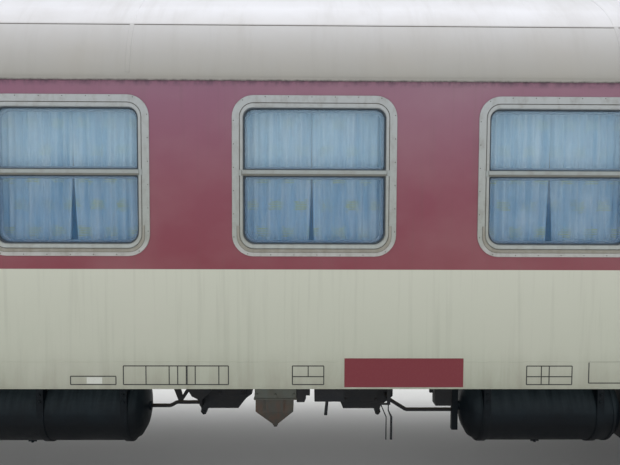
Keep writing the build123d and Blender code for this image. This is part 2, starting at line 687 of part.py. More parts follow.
def main():
    make_side_walls()
    make_vestibule_sides()
    make_end_walls()
    make_roof()
    make_gutters()
    make_decks()
    make_interior()
    make_windows()
    make_curtains()
    make_underframe()
    make_steps()
    make_buffers()
    make_draw_gear()
    make_gangways()
    make_folding_doors()
    make_gangway_doors()
    make_tanks()
    make_drain_hoppers()
    make_brake_gear()
    make_pipes()
    make_battery_boxes()
    make_roof_vents()
    make_fittings()
    make_bogies()
    os.makedirs("parts", exist_ok=True)
    for name, solids in nodes.items():
        export_step(Compound(solids), f"parts/{name}.step")


main()
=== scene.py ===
import random
from itertools import product
from math import atan2, cos, pi, radians, sin, sqrt

import bmesh
import bpy
from mathutils import Euler, Matrix, Vector


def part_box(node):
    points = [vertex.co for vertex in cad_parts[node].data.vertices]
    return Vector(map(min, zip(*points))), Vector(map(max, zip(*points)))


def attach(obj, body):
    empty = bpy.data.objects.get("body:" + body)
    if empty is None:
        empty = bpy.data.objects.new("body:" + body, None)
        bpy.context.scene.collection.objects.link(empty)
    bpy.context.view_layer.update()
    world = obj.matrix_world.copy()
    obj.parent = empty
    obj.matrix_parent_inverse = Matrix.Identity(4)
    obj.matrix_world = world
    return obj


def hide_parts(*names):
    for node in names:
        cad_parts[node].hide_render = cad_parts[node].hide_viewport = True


# Lengths are metres. X runs along the coach, the compartment side faces -Y, Z is up.
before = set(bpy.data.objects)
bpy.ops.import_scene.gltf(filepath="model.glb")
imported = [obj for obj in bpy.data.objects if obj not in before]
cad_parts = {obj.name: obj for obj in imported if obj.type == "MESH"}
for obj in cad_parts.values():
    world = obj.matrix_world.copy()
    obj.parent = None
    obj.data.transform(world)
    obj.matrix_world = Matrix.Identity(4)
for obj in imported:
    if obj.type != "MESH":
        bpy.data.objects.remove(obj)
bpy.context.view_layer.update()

SIDES = (("compartment", -1), ("corridor", 1))
ENDS = (("a", -1), ("b", 1))
BOTH = (-1, 1)
UP, DOWN = (0, 0, 1), (0, 0, -1)
FACE_Y, END_Y = 1.44, 1.33
STRAIGHT_X, BULKHEAD_X, END_X = 10.9, 11.92, 12.0
SKIRT_Z, SEAM_Z, BAND_Z, GUTTER_Z, ROOF_Z = 1.078, 1.259, 1.87, 3.094, 4.078
FLOOR_Z, DECK_Z = 1.203, 1.263
COVE_R = 0.7
PIVOT_X, WHEELBASE, AXLE_Z = 8.6, 2.5, 0.503
AXLES = (-WHEELBASE / 2, WHEELBASE / 2)
BUFFER_Y, BUFFER_Z, BUFFER_FACE_X, BUFFER_ROOT_X = 0.875, 1.088, 12.25, 11.66
FRAME_W, FRAME_H, FRAME_MID_Z = 1.068, 1.04, 2.476
SMALL_W, SMALL_MID_Z, WASHROOM_X = 0.62, 2.68, 9.8
PITCH = 1.6
# side's name, way it faces, window pitch, windows each way from the middle one
WINDOW_ROWS = (("compartment", -1, PITCH, 5), ("corridor", 1, 2.0, 4))


# Procedural materials

def srgb(red, green, blue):
    """Linear colour of a 0 to 255 display colour."""
    def linear(value):
        share = value / 255
        return share / 12.92 if share <= 0.04045 else ((share + 0.055) / 1.055) ** 2.4
    return (linear(red), linear(green), linear(blue), 1.0)


class Nodes:
    """The node tree of a material or a world, patterned by place, with colours as 0 to 255 display values."""

    def __init__(self, owner):
        owner.use_nodes = True
        self.tree = owner.node_tree
        self.place = self.node("ShaderNodeTexCoord").outputs

    def node(self, kind, **settings):
        made = self.tree.nodes.new(kind)
        for key, value in settings.items():
            setattr(made, key, value)
        return made

    def feed(self, socket, value):
        """Links a node's output to a socket, or sets it to a number or a display colour."""
        if isinstance(value, bpy.types.NodeSocket):
            self.tree.links.new(value, socket)
        else:
            socket.default_value = srgb(*value) if isinstance(value, tuple) else value

    def texture(self, made, size, stretch=(1, 1, 1), **inputs):
        """A texture node's value, by place divided by size and stretched on each axis."""
        mapping = self.node("ShaderNodeMapping")
        self.feed(mapping.inputs["Vector"], self.place["Object"])
        mapping.inputs["Scale"].default_value = [k / size for k in stretch]
        self.feed(made.inputs["Vector"], mapping.outputs["Vector"])
        for name, value in inputs.items():
            made.inputs[name].default_value = value
        return made.outputs["Fac"]

    def noise(self, size, detail=4.0, rough=0.55, stretch=(1, 1, 1)):
        return self.texture(self.node("ShaderNodeTexNoise"), size, stretch, Scale=1.0, Detail=detail,
                            Roughness=rough)

    def wave(self, size, axis):
        """Fine even ribs across one axis."""
        return self.texture(self.node("ShaderNodeTexWave", bands_direction=axis), size, Scale=1.0)

    def axis(self, name, of="Object"):
        """Place along one axis or, of the Normal, how far a face looks along it from -1 to 1."""
        split = self.node("ShaderNodeSeparateXYZ")
        self.feed(split.inputs[0], self.place[of])
        return split.outputs[name]

    def math(self, how, first, second=0.0):
        made = self.node("ShaderNodeMath", operation=how)
        self.feed(made.inputs[0], first)
        self.feed(made.inputs[1], second)
        return made.outputs[0]

    def times(self, first, second):
        return self.math("MULTIPLY", first, second)

    def less(self, first, second):
        return self.math("SUBTRACT", first, second)

    def absolute(self, value):
        return self.math("ABSOLUTE", value)

    def reach(self, first, second):
        """Distance from an axis, from two offsets across it."""
        return self.math("SQRT", self.math("ADD", self.times(first, first), self.times(second, second)))

    def span(self, value, low, high, to_low=0.0, to_high=1.0):
        """The value's place between low and high, as a share held between the two ends."""
        made = self.node("ShaderNodeMapRange", clamp=True)
        for socket, number in zip(made.inputs, (value, low, high, to_low, to_high)):
            self.feed(socket, number)
        return made.outputs[0]

    def ramp(self, value, *stops):
        """Colours along a value, as (place, colour)."""
        made = self.node("ShaderNodeValToRGB")
        band = made.color_ramp
        while len(band.elements) < len(stops):
            band.elements.new(0.5)
        for element, (place, colour) in zip(band.elements, stops):
            element.position = place
            element.color = srgb(*colour)
        self.feed(made.inputs[0], value)
        return made.outputs["Color"]

    def mix(self, share, first, second):
        made = self.node("ShaderNodeMix", data_type="RGBA")
        sockets = {socket.identifier: socket for socket in made.inputs}
        self.feed(sockets["Factor_Float"], share)
        self.feed(sockets["A_Color"], first)
        self.feed(sockets["B_Color"], second)
        return next(socket for socket in made.outputs if socket.identifier == "Result_Color")


class Look(Nodes):
    """A material built step by step round one Principled shader; colour is the one built up so far."""

    def __init__(self, name, colour=None, **sockets):
        self.mat = bpy.data.materials.new(name)
        super().__init__(self.mat)
        self.shader = self.tree.nodes["Principled BSDF"]
        self.colour = colour
        for socket, value in sockets.items():
            self.put(socket.replace("_", " "), value)

    def put(self, socket, value):
        """Sets or links one socket of the shader."""
        self.feed(self.shader.inputs[socket], value)

    def over(self, tone, value, low=None, high=None, share=1.0):
        """Lays a tone over the colour by a share, or up to a share as the value goes from low to high."""
        if low is not None:
            value = self.span(value, low, high, 0.0, share)
        self.colour = self.mix(value, self.colour, tone)

    def done(self, height=None, deep=0.0, rough=None):
        """The finished material, with its colour, bump and roughness put in."""
        self.put("Base Color", self.colour)
        if rough is not None:
            self.put("Roughness", rough)
        if height is not None:
            made = self.node("ShaderNodeBump")
            made.inputs["Distance"].default_value = deep
            self.feed(made.inputs["Height"], height)
            self.put("Normal", made.outputs["Normal"])
        return self.mat


def coach_paint(name, red_top, drip_and_shadow_share):
    """Dark red band over a cream panel, chalky with age, with rain streaks, dirt above the skirt, and a dark
    band under the gutter that is partly drip grime and partly painted shadow of the gutter."""
    look = Look(name, Specular_IOR_Level=0.3)
    height = look.axis("Z")
    clouds = look.noise(0.9, stretch=(1, 1, 1.4))
    red = look.ramp(look.span(height, BAND_Z, GUTTER_Z), (0.0, (122, 55, 66)), (0.45, (127, 70, 84)),
                    (1.0, red_top))
    cream = look.ramp(look.span(height, SKIRT_Z, BAND_Z), (0.0, (158, 161, 146)), (0.3, (176, 179, 164)),
                      (1.0, (190, 192, 178)))
    look.colour = look.mix(look.span(height, BAND_Z - 0.0015, BAND_Z + 0.0015), cream, red)
    look.over((86, 80, 68), look.noise(0.035, 5.0, 0.6, (1, 1, 0.035)), 0.52, 0.8, 0.16)
    look.over((205, 196, 190), clouds, 0.35, 0.7, 0.1)
    low_dirt = look.times(look.span(height, SKIRT_Z, SKIRT_Z + 0.3, 0.45, 0.0),
                          look.span(look.noise(0.16, 6.0, 0.65, (1, 1, 0.3)), 0.36, 0.72))
    look.over((118, 112, 96), low_dirt)
    look.over((86, 76, 66), look.noise(0.012, 3.0, 0.7), 0.68, 0.76, 0.25)
    # dark band under the gutter: partly drip grime, partly painted shadow cast by the gutter
    drip = look.times(look.span(height, GUTTER_Z - 0.05, GUTTER_Z - 0.008, 0.0, drip_and_shadow_share),
                      look.span(look.noise(0.05, 6.0, 0.7, (1, 1, 0.6)), 0.42, 0.62))
    look.over((74, 62, 74), drip)
    return look.done(look.noise(0.6, 2.0), 0.004, look.span(clouds, 0.3, 0.75, 0.34, 0.52))


def roof_paint():
    """Pale grey roof with soot streaks running down the curve, painted shade low on the coves and along
    the gutter's edge, and a step lighter above the lap seam painted as sky reflection.
    """
    look = Look("roof_paint", Specular_IOR_Level=0.3)
    height = look.axis("Z")
    clouds = look.noise(0.35, 6.0, 0.6)
    # painted shade: darker low on the cove, which faces sideways, then a step lighter above the lap seam
    # painted as sky reflection; greyer towards the crown
    look.colour = look.ramp(look.span(height, GUTTER_Z, 3.6), (0.0, (158, 156, 150)), (0.35, (175, 173, 170)),
                            (0.765, (197, 196, 197)), (0.775, (216, 215, 217)), (1.0, (223, 223, 228)))
    look.over((168, 168, 168), height, 3.62, 4.0, 0.9)
    look.over((140, 134, 124), look.noise(0.09, 5.0, 0.6, (1, 0.12, 0.12)), 0.5, 0.8, 0.16)
    look.over((176, 168, 156), clouds, 0.42, 0.72, 0.16)
    # painted shade along the gutter's lower edge, broken up by noise
    edge = look.times(look.span(height, GUTTER_Z + 0.006, GUTTER_Z - 0.008),
                      look.span(look.noise(0.03, 6.0, 0.7), 0.35, 0.6, 0.35, 1.0))
    look.over((86, 80, 80), edge)
    return look.done(look.noise(0.35, 3.0), 0.004, look.span(clouds, 0.3, 0.7, 0.5, 0.7))


def dusty_metal(name, base, dust, share=0.5, metal=0.0, rough=(0.45, 0.75), grain=0.02, deep=0.0015,
                shine=0.5, settled=0.0):
    """Painted or bare metal with dust and grime in clouds and fine specks, and settled on what looks up."""
    look = Look(name, base, Metallic=metal, Specular_IOR_Level=shine)
    clouds = look.noise(0.22, 6.0, 0.65)
    fine = look.noise(grain, 4.0, 0.7)
    look.over(dust, clouds, 0.38, 0.72, share)
    look.over(dust, fine, 0.55, 0.8, share * 0.7)
    if settled:
        lying = look.times(look.span(look.axis("Z", "Normal"), 0.3, 0.95, 0.0, settled),
                           look.span(clouds, 0.3, 0.6, 0.55, 1.0))
        look.over((132, 120, 100), lying)
    return look.done(fine, deep, look.span(clouds, 0.3, 0.7, *rough))


def bogie_paint():
    """Running gear under brake dust: rust brown in patches, oily black low down, dust on what looks up."""
    look = Look("bogie_paint", (44, 41, 39), Specular_IOR_Level=0.35)
    clouds = look.noise(0.16, 6.0, 0.65)
    fine = look.noise(0.014, 4.0, 0.7)
    look.over((88, 76, 64), clouds, 0.36, 0.68)
    look.over((104, 70, 48), look.noise(0.05, 6.0, 0.7), 0.5, 0.66, 0.7)
    oily = look.times(look.span(look.axis("Z"), 0.4, 0.62, 1.0, 0.0), look.span(clouds, 0.62, 0.4))
    look.over((26, 24, 24), look.times(oily, 0.75))
    look.over((128, 112, 92), fine, 0.55, 0.78, 0.4)
    look.over((128, 116, 98), look.axis("Z", "Normal"), 0.3, 0.95, 0.55)
    return look.done(fine, 0.002, look.span(clouds, 0.35, 0.65, 0.5, 0.8))


def tank_paint():
    """Air tanks in dark paint, streaked, with dust streaks and a painted highlight on top, and painted shade
    where they face the ground.
    """
    look = Look("tank_paint", (8, 16, 22), Specular_IOR_Level=0.12)
    up = look.axis("Z", "Normal")
    clouds = look.noise(0.16, 6.0, 0.65)
    fine = look.noise(0.02, 4.0, 0.7)
    look.over((28, 38, 44), clouds, 0.38, 0.68, 0.5)
    streaks = look.noise(0.045, 5.0, 0.6, (1, 0.15, 0.15))
    # lighter on top: dust streaks mixed with a painted highlight from the sky
    look.over((56, 66, 70), look.times(look.span(up, 0.05, 0.75), look.span(streaks, 0.3, 0.62, 0.35, 0.95)))
    # painted shade: darker where the tanks face the ground
    look.over((2, 5, 9), up, 0.12, -0.3, 0.9)
    look.over((54, 56, 56), fine, 0.6, 0.8, 0.25)
    return look.done(fine, 0.0015, look.span(clouds, 0.3, 0.7, 0.45, 0.65))


def buffer_paint():
    """Black buffers with a worn and greased patch in the middle of each head."""
    look = Look("buffer_paint", (24, 26, 30), Specular_IOR_Level=0.3)
    fine = look.noise(0.02, 5.0, 0.7)
    off = look.reach(look.less(look.absolute(look.axis("Y")), BUFFER_Y), look.less(look.axis("Z"), BUFFER_Z))
    face = look.span(look.absolute(look.axis("X")), BUFFER_FACE_X - 0.004, BUFFER_FACE_X - 0.001)
    ragged = look.math("ADD", off, look.span(look.noise(0.09, 5.0, 0.7), 0.3, 0.7, -0.05, 0.05))
    grease = look.times(face, look.span(ragged, 0.205, 0.15))
    worn = look.times(face, look.span(ragged, 0.135, 0.085))
    look.over((60, 57, 53), fine, 0.4, 0.75)
    look.over((38, 31, 26), grease)
    look.over(look.mix(look.span(fine, 0.35, 0.7), (96, 88, 80), (132, 126, 118)), worn)
    look.put("Metallic", look.times(worn, 0.7))
    return look.done(fine, 0.0015, look.less(0.6, look.times(grease, 0.22)))


def hopper_paint():
    """Drain hopper in grey paint, darker below its flange, with brown streaks that run to the tip."""
    look = Look("hopper_paint", Specular_IOR_Level=0.3)
    height = look.axis("Z")
    clouds = look.noise(0.07, 6.0, 0.65)
    streaks = look.noise(0.03, 5.0, 0.65, (1, 1, 0.12))
    look.colour = look.ramp(look.span(height, 0.78, 1.04), (0.0, (42, 46, 42)), (0.5, (56, 57, 53)),
                            (0.74, (60, 61, 57)), (0.79, (78, 83, 78)), (1.0, (82, 87, 82)))
    look.over((88, 78, 64), clouds, 0.4, 0.7, 0.35)
    stain = look.times(look.span(height, 1.0, 0.93), look.span(streaks, 0.42, 0.66, 0.0, 0.75))
    look.over((78, 54, 42), stain)
    return look.done(streaks, 0.001, look.span(clouds, 0.3, 0.7, 0.5, 0.75))


def frame_metal(name, seep_share, foot=(150, 154, 148), top=(165, 169, 171), lowest=None):
    """Anodised window frames with grey and brown weather stains, the brown seeping down to the foot.
    lowest is the tone of the strip along the foot itself, where it differs."""
    look = Look(name, Metallic=0.25, Specular_IOR_Level=0.4)
    height = look.axis("Z")
    brushed = look.noise(0.004, 3.0, stretch=(0.08, 0.08, 1))
    stains = look.noise(0.06, 6.0, 0.7, (1, 1, 0.5))
    lowest = lowest or foot
    look.colour = look.ramp(look.span(height, 1.95, 3.0), (0.0, lowest), (0.06, lowest), (0.12, foot),
                            (1.0, top))
    look.over((118, 113, 100), stains, 0.48, 0.72, 0.45)
    seep = look.times(look.span(height, 2.02, 2.22, 1.0, 0.0),
                      look.span(look.noise(0.045, 6.0, 0.7, (1, 1, 0.4)), 0.36, 0.6, 0.0, seep_share))
    look.over((106, 96, 78), seep)
    look.over((196, 200, 200), brushed, 0.3, 0.8, 0.15)
    return look.done(brushed, 0.0004, look.span(stains, 0.3, 0.7, 0.42, 0.62))


def window_pane(name, low, high):
    """Glass with faint dust, see-through and reflecting; its colour is a blue tint with a painted sky
    reflection, paler towards the top as painted reflection.
    """
    look = Look(name, low, Roughness=0.04, Specular_IOR_Level=0.9)
    dust = look.noise(0.15, 6.0, 0.7, (1, 1, 0.5))
    # painted reflection: paler towards the top, where the panes reflect more sky
    look.over(high, look.axis("Z"), 2.3, 2.62)
    look.over((176, 196, 210), dust, 0.45, 0.8, 0.7)
    look.put("Alpha", look.span(dust, 0.3, 0.75, 0.2, 0.32))
    return look.done()


def curtain_cloth():
    """Pale blue woven curtain with a woven-in pattern of soft yellow-green patches, and pale vertical
    streaks painted as the light on its folds.
    """
    look = Look("curtain_cloth", (132, 178, 208), Roughness=0.9, Sheen_Weight=0.2)
    weave = look.times(look.wave(0.0035, "X"), look.wave(0.0035, "Z"))
    # painted highlight: pale vertical streaks standing for light on the folds
    look.over((226, 240, 246), look.noise(0.055, 4.0, 0.6, (1, 0, 0.05)), 0.34, 0.66)
    look.over((204, 228, 236), look.noise(0.3, 3.0, stretch=(1, 0, 0.5)), 0.35, 0.65, 0.5)
    row = look.math("DIVIDE", look.less(look.axis("Z"), 0.04), 0.18)
    shift = look.times(look.math("FLOOR", row), 0.5)
    column = look.math("ADD", look.math("DIVIDE", look.axis("X"), 0.17), shift)
    ragged = look.span(look.noise(0.035, 3.0, stretch=(1, 0, 2)), 0.3, 0.7, -0.09, 0.09)

    def inside(place, edge, core):
        """Share of a patch, from how far a place is off the middle of its row or column."""
        off = look.absolute(look.less(look.math("FRACT", place), 0.5))
        return look.span(look.math("ADD", off, ragged), edge, core)
    patches = look.times(inside(column, 0.33, 0.17), inside(row, 0.25, 0.12))
    for share in (look.span(look.wave(0.052, "Z"), 0.2, 0.8, 0.35, 1.0),
                  look.span(look.noise(0.16, 3.0, stretch=(1, 0, 1)), 0.36, 0.62, 0.15, 0.95),
                  look.span(look.axis("Z"), 2.44, 2.6, 1.0, 0.35)):
        patches = look.times(patches, share)
    look.over((220, 220, 112), patches)
    look.over((222, 232, 238), weave, 0.2, 0.9, 0.2)
    return look.done(weave, 0.0006)


def wheel_steel():
    """Brown rusted wheels with a bright worn tread, by distance from the axle's middle."""
    look = Look("wheel_steel", (74, 62, 54))
    tread = (0.462, 0.47)
    along = look.absolute(look.axis("X"))
    up = look.less(look.axis("Z"), AXLE_Z)
    reach = look.math("MINIMUM", *(look.reach(look.less(along, PIVOT_X + axle), up) for axle in AXLES))
    rust = look.noise(0.05, 6.0, 0.7)
    look.over((112, 88, 68), rust, 0.35, 0.7)
    look.over((176, 174, 170), reach, *tread)
    look.put("Metallic", look.span(reach, *tread, 0.2, 0.9))
    return look.done(rust, 0.001, look.span(reach, *tread, 0.75, 0.28))


def lamp_lens():
    """Red pressed lens of the tail lamps."""
    look = Look("lamp_lens", (120, 8, 12), Roughness=0.12, Coat_Weight=0.6)
    ribs = look.wave(0.012, "Z")
    look.over((178, 22, 24), ribs, 0.2, 0.8)
    return look.done(ribs, 0.0015)


def two_tone(name, base, other, noise, ends, deep, **sockets):
    """Material in two tones, mottled and bumped by one noise. noise is its size, detail, roughness and
    stretch; ends are its values at which the second tone starts and is full, and that tone's share."""
    look = Look(name, base, **sockets)
    pattern = look.noise(*noise)
    look.over(other, pattern, *ends)
    return look.done(pattern, deep)


def rubber(name, clean, dusty):
    return two_tone(name, clean, dusty, (0.02, 4.0, 0.7), (0.35, 0.75), 0.0008, Roughness=0.7)


def mark_paint(name, base, worn):
    """Thin stencilled paint, broken up where it has worn off."""
    return two_tone(name, base, worn, (0.01, 5.0, 0.7), (0.5, 0.75, 0.4), 0.0003, Roughness=0.6)


PAINT = coach_paint("coach_paint", (136, 96, 116), 0.7)
END_PAINT = coach_paint("end_paint", (118, 58, 70), 0.0)
ROOF = roof_paint()
BLACK = dusty_metal("underframe_paint", (20, 23, 28), (54, 52, 50), 0.5, shine=0.2, settled=0.35)
TANK = tank_paint()
BOGIE = bogie_paint()
BUFFER = buffer_paint()
DRAW = dusty_metal("draw_gear_steel", (42, 39, 38), (96, 80, 64), 0.6, 0.3, (0.4, 0.7))
HOPPER = hopper_paint()
GREY_DOOR = dusty_metal("gangway_door_paint", (128, 132, 132), (104, 100, 92), 0.4, 0.0, (0.4, 0.55))
STEEL = dusty_metal("bright_metal", (170, 172, 172), (120, 116, 108), 0.4, 0.7, (0.28, 0.5), 0.01, 0.0005)
ALUMINIUM = frame_metal("frame_metal", 0.1, lowest=(170, 170, 167))
INNER_RING = frame_metal("frame_metal_inner", 0.15, (148, 151, 145), lowest=(164, 170, 168))
TRAY = frame_metal("frame_metal_tray", 0.4, (140, 138, 128))
CROSS_BAR = frame_metal("frame_metal_bar", 0.2, (146, 150, 147), (150, 158, 158))
# shaded copy of the transom's metal: painted shade for its lower chamfer, which faces down
CROSS_BAR_SHADED = frame_metal("frame_metal_bar_shaded", 0.2, (104, 104, 96), (112, 112, 104))
GROOVE = rubber("groove_grime", (58, 54, 48), (104, 98, 86))
GLASS = window_pane("window_pane", (54, 122, 172), (154, 194, 222))
DOOR_GLASS = window_pane("door_pane", (76, 94, 104), (120, 138, 148))
FROSTED = two_tone("frosted_pane", (186, 200, 206), (214, 222, 224), (0.008, 2.0), (0.3, 0.7), 0.0015,
                   Roughness=0.3, Specular_IOR_Level=0.6)
CLOTH = curtain_cloth()
RUBBER = rubber("rubber", (30, 33, 38), (58, 60, 62))
BELLOWS = dusty_metal("bellows_rubber", (34, 36, 40), (72, 71, 68), 0.45, 0.0, (0.6, 0.8), 0.05, 0.001,
                      0.3, 0.5)
GASKET = rubber("pane_gasket", (40, 50, 60), (70, 78, 84))
REVEAL = rubber("pane_reveal", (118, 134, 150), (146, 158, 168))
PANEL = two_tone("panel_laminate", (196, 178, 146), (166, 140, 106), (0.03, 5.0, 0.55, (1, 1, 0.06)),
                 (0.3, 0.75), 0.0004, Roughness=0.45)
LINO = two_tone("floor_lino", (66, 62, 58), (104, 98, 90), (0.01, 3.0, 0.8), (0.4, 0.7), 0.0004,
                Roughness=0.6)
WHEEL = wheel_steel()
LENS = lamp_lens()
MARK_BLACK = mark_paint("mark_black", (34, 34, 33), (120, 120, 110))
MARK_RED = mark_paint("mark_red", (108, 27, 39), (122, 54, 60))
MARK_WHITE = mark_paint("mark_white", (196, 198, 190), (150, 150, 138))

# materials, and how the names of the CAD nodes in them start; the first that fits is taken
NODE_LOOKS = ((PAINT, "side_wall vestibule_sides"), (END_PAINT, "end_wall"), (ROOF, "roof rain_gutters"),
              (PANEL, "ceiling corridor_partition cross_partitions vestibule_bulkheads"),
              (LINO, "floor_pan"), (GLASS, "window_glass"),
              (STEEL, "curtain_rails grab_rails door_pivots gangway_door_tracks"), (PAINT, "door_"),
              (GREY_DOOR, "gangway_door"), (BELLOWS, "gangway_bellows"), (LENS, "tail_lamps"),
              (TANK, "air_tanks"), (HOPPER, "drain_hoppers"), (WHEEL, "wheelset"), (BOGIE, "bogie"),
              (BUFFER, "buffers"))

# where each leaf of an entrance door starts along the slanted side, from its inboard corner
LEAF_STARTS = {"near": 0.145, "far": 0.522}
LEAF_W = 0.357
SLANT = atan2(FACE_Y - END_Y, BULKHEAD_X - STRAIGHT_X)


def glaze_panes(name, obj):
    """Gives the panes in the doors clear glass and those of the washrooms frosted glass."""
    words = name.split("_")
    pane = DOOR_GLASS
    if words[0] == "door" and words[-1] in LEAF_STARTS:
        middle = LEAF_STARTS[words[-1]] + LEAF_W / 2

        def inside(spot):
            s = (abs(spot.x) - STRAIGHT_X) * cos(SLANT) + (FACE_Y - abs(spot.y)) * sin(SLANT)
            return abs(s - middle) < 0.0975 and 2.161 < spot.z < 2.859
    elif name.startswith("gangway_door_") and "tracks" not in name:
        def inside(spot):
            return abs(spot.y) < 0.249 and 2.051 < spot.z < 2.949
    elif name.startswith("window_glass"):
        pane = FROSTED

        def inside(spot):
            return abs(spot.x) > WASHROOM_X - SMALL_W
    else:
        return
    obj.data.materials.append(pane)
    for face in obj.data.polygons:
        if inside(face.center):
            face.material_index = 1


def dress_cad_nodes():
    """Gives each carried-over node its material, and takes the sharpness off the edges of the underframe,
    running gear, tank, hopper, buffer and door nodes.
    """
    for name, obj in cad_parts.items():
        look = next((look for look, starts in NODE_LOOKS if name.startswith(tuple(starts.split()))), BLACK)
        obj.data.materials.clear()
        obj.data.materials.append(look)
        glaze_panes(name, obj)
        if look in (BLACK, BOGIE, TANK, HOPPER, BUFFER) or name.startswith("door_"):
            weld = obj.modifiers.new("weld", "WELD")
            weld.merge_threshold = 0.0001
            bevel = obj.modifiers.new("soft_edges", "BEVEL")
            bevel.width = 0.003
            bevel.segments = 2
            bevel.limit_method = "ANGLE"
            bevel.angle_limit = radians(50)


# Mesh building

def about(middle, half):
    """The two limits of a span, from its middle and half its width."""
    return (middle - half, middle + half)


def beyond(face, way, near, far):
    """The two limits of a span, from its two distances out from a face."""
    return (face + way * near, face + way * far)


def circle(sides):
    """Cosine and sine of each step round a full turn."""
    turns = [2 * pi * k / sides for k in range(sides)]
    return [(cos(t), sin(t)) for t in turns]


class Shape:
    """A mesh under construction, as points, faces and the material number of each face."""

    def __init__(self):
        self.points, self.faces, self.looks = [], [], []

    def add(self, points, faces, look=0):
        base = len(self.points)
        self.points += [tuple(p) for p in points]
        self.faces += [[base + i for i in face] for face in faces]
        self.looks += [look] * len(faces)

    def loft(self, loops, look=0, ring=True, caps=False):
        """Quads between loops with the same number of points; look may be a number per step."""
        count = len(loops[0])
        last = count if ring else count - 1
        looks = look if isinstance(look, (list, tuple)) else [look] * len(loops)
        for first, second, step_look in zip(loops, loops[1:], looks):
            faces = [(i, (i + 1) % count, count + (i + 1) % count, count + i) for i in range(last)]
            self.add(list(first) + list(second), faces, step_look)
        if caps:
            for loop in (loops[0], loops[-1]):
                self.add(loop, [range(count)], looks[0])

    def box(self, x, y, z, look=0, edge=0.0, at=lambda *place: place):
        """Block between two limits on each axis, chamfered along its outline; at places its points."""
        x, y, z = sorted(x), sorted(y), sorted(z)
        e = min(edge, (x[1] - x[0]) / 3, (y[1] - y[0]) / 3, (z[1] - z[0]) / 3)
        levels = [(z[0], e), (z[0] + e, 0), (z[1] - e, 0), (z[1], e)] if e > 0 else [(z[0], 0), (z[1], 0)]
        self.loft([[at(x[0] + inset, y[0] + inset, up), at(x[1] - inset, y[0] + inset, up),
                    at(x[1] - inset, y[1] - inset, up), at(x[0] + inset, y[1] - inset, up)]
                   for up, inset in levels], look, caps=True)

    def rings(self, centres, radii, sides=16, look=0):
        """Round tube through centres, with one radius for all or a radius at each."""
        points = [Vector(c) for c in centres]
        radii = radii if isinstance(radii, (list, tuple)) else [radii] * len(points)
        loops = []
        side = None
        for i, (point, radius) in enumerate(zip(points, radii)):
            run = (points[min(i + 1, len(points) - 1)] - points[max(i - 1, 0)]).normalized()
            if side is None:
                side = run.orthogonal().normalized()
            side = (side - run * side.dot(run)).normalized()
            other = run.cross(side)
            loops.append([point + radius * (c * side + s * other) for c, s in circle(sides)])
        self.loft(loops, look, caps=True)

    def bar(self, start, end, radius, sides=16, look=0):
        self.rings([start, end], radius, sides, look)

    def turned(self, base, direction, profile, sides=24, look=0, caps=True):
        """Round piece on an axis, its profile given as (along, radius)."""
        axis = Vector(direction).normalized()
        side = axis.orthogonal().normalized()
        other = axis.cross(side)
        loops = [[Vector(base) + axis * along + radius * (c * side + s * other) for c, s in circle(sides)]
                 for along, radius in profile]
        self.loft(loops, look, caps=caps)

    def bolt(self, base, direction, size, look=0, head=((0, 1), (0.6, 1), (0.8, 0.8)), sides=6):
        """Hexagon head standing on a face, its profile given as shares of its radius."""
        self.turned(base, direction, [(size * along, size * radius) for along, radius in head], sides, look)

    def stud(self, base, direction, size, look=0):
        """Low round head standing on a face."""
        self.bolt(base, direction, size, look, ((0, 1), (0.3, 0.8), (0.45, 0.35)), 8)

    def build(self, name, materials, body="coach", *, slot, replaces=(), smooth_deg=40):
        """Puts the mesh in the scene as one piece of a body, its edges smoothed up to smooth_deg degrees."""
        mesh = bpy.data.meshes.new(name)
        mesh.from_pydata(self.points, [], self.faces)
        for material in materials:
            mesh.materials.append(material)
        for face, look in zip(mesh.polygons, self.looks):
            face.material_index = look
        work = bmesh.new()
        work.from_mesh(mesh)
        bmesh.ops.remove_doubles(work, verts=work.verts, dist=0.00002)
        bmesh.ops.recalc_face_normals(work, faces=work.faces)
        work.to_mesh(mesh)
        work.free()
        mesh.shade_smooth()
        mesh.set_sharp_from_angle(angle=radians(smooth_deg))
        obj = bpy.data.objects.new(name, mesh)
        bpy.context.scene.collection.objects.link(obj)
        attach(obj, body)
        if replaces:
            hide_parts(*replaces)
        return obj


def rounded_loop(left, right, low, high, radius_low, radius_high, steps=8):
    """Closed outline of a rectangle with rounded corners, as (u, v)."""
    corners = ((right - radius_low, low + radius_low, radius_low, -90),
               (right - radius_high, high - radius_high, radius_high, 0),
               (left + radius_high, high - radius_high, radius_high, 90),
               (left + radius_low, low + radius_low, radius_low, 180))
    points = []
    for (u, v, radius, start), k in product(corners, range(steps + 1)):
        turn = radians(start + 90 * k / steps)
        points.append((u + radius * cos(turn), v + radius * sin(turn)))
    return points


# Windows

LARGE_ROWS = (
    # insets at the sides, top and foot, radii at the foot and top, out from the wall, material onwards
    (0.000, 0.000, 0.000, 0.140, 0.140, 0.000, 0),
    (0.000, 0.000, 0.000, 0.140, 0.140, 0.004, 0),
    (0.002, 0.002, 0.002, 0.138, 0.138, 0.006, 0),
    (0.047, 0.047, 0.047, 0.096, 0.093, 0.006, 1),
    (0.048, 0.048, 0.048, 0.096, 0.092, 0.003, 1),
    (0.0505, 0.0505, 0.0505, 0.094, 0.0895, 0.003, 2),
    (0.0525, 0.0535, 0.0545, 0.092, 0.0875, 0.009, 2),
    (0.060, 0.065, 0.067, 0.085, 0.077, 0.010, 2),
    (0.068, 0.076, 0.075, 0.079, 0.069, 0.008, 2),
    (0.072, 0.081, 0.080, 0.077, 0.064, 0.000, 2),
    (0.072, 0.081, 0.080, 0.077, 0.064, -0.024, 0),
)
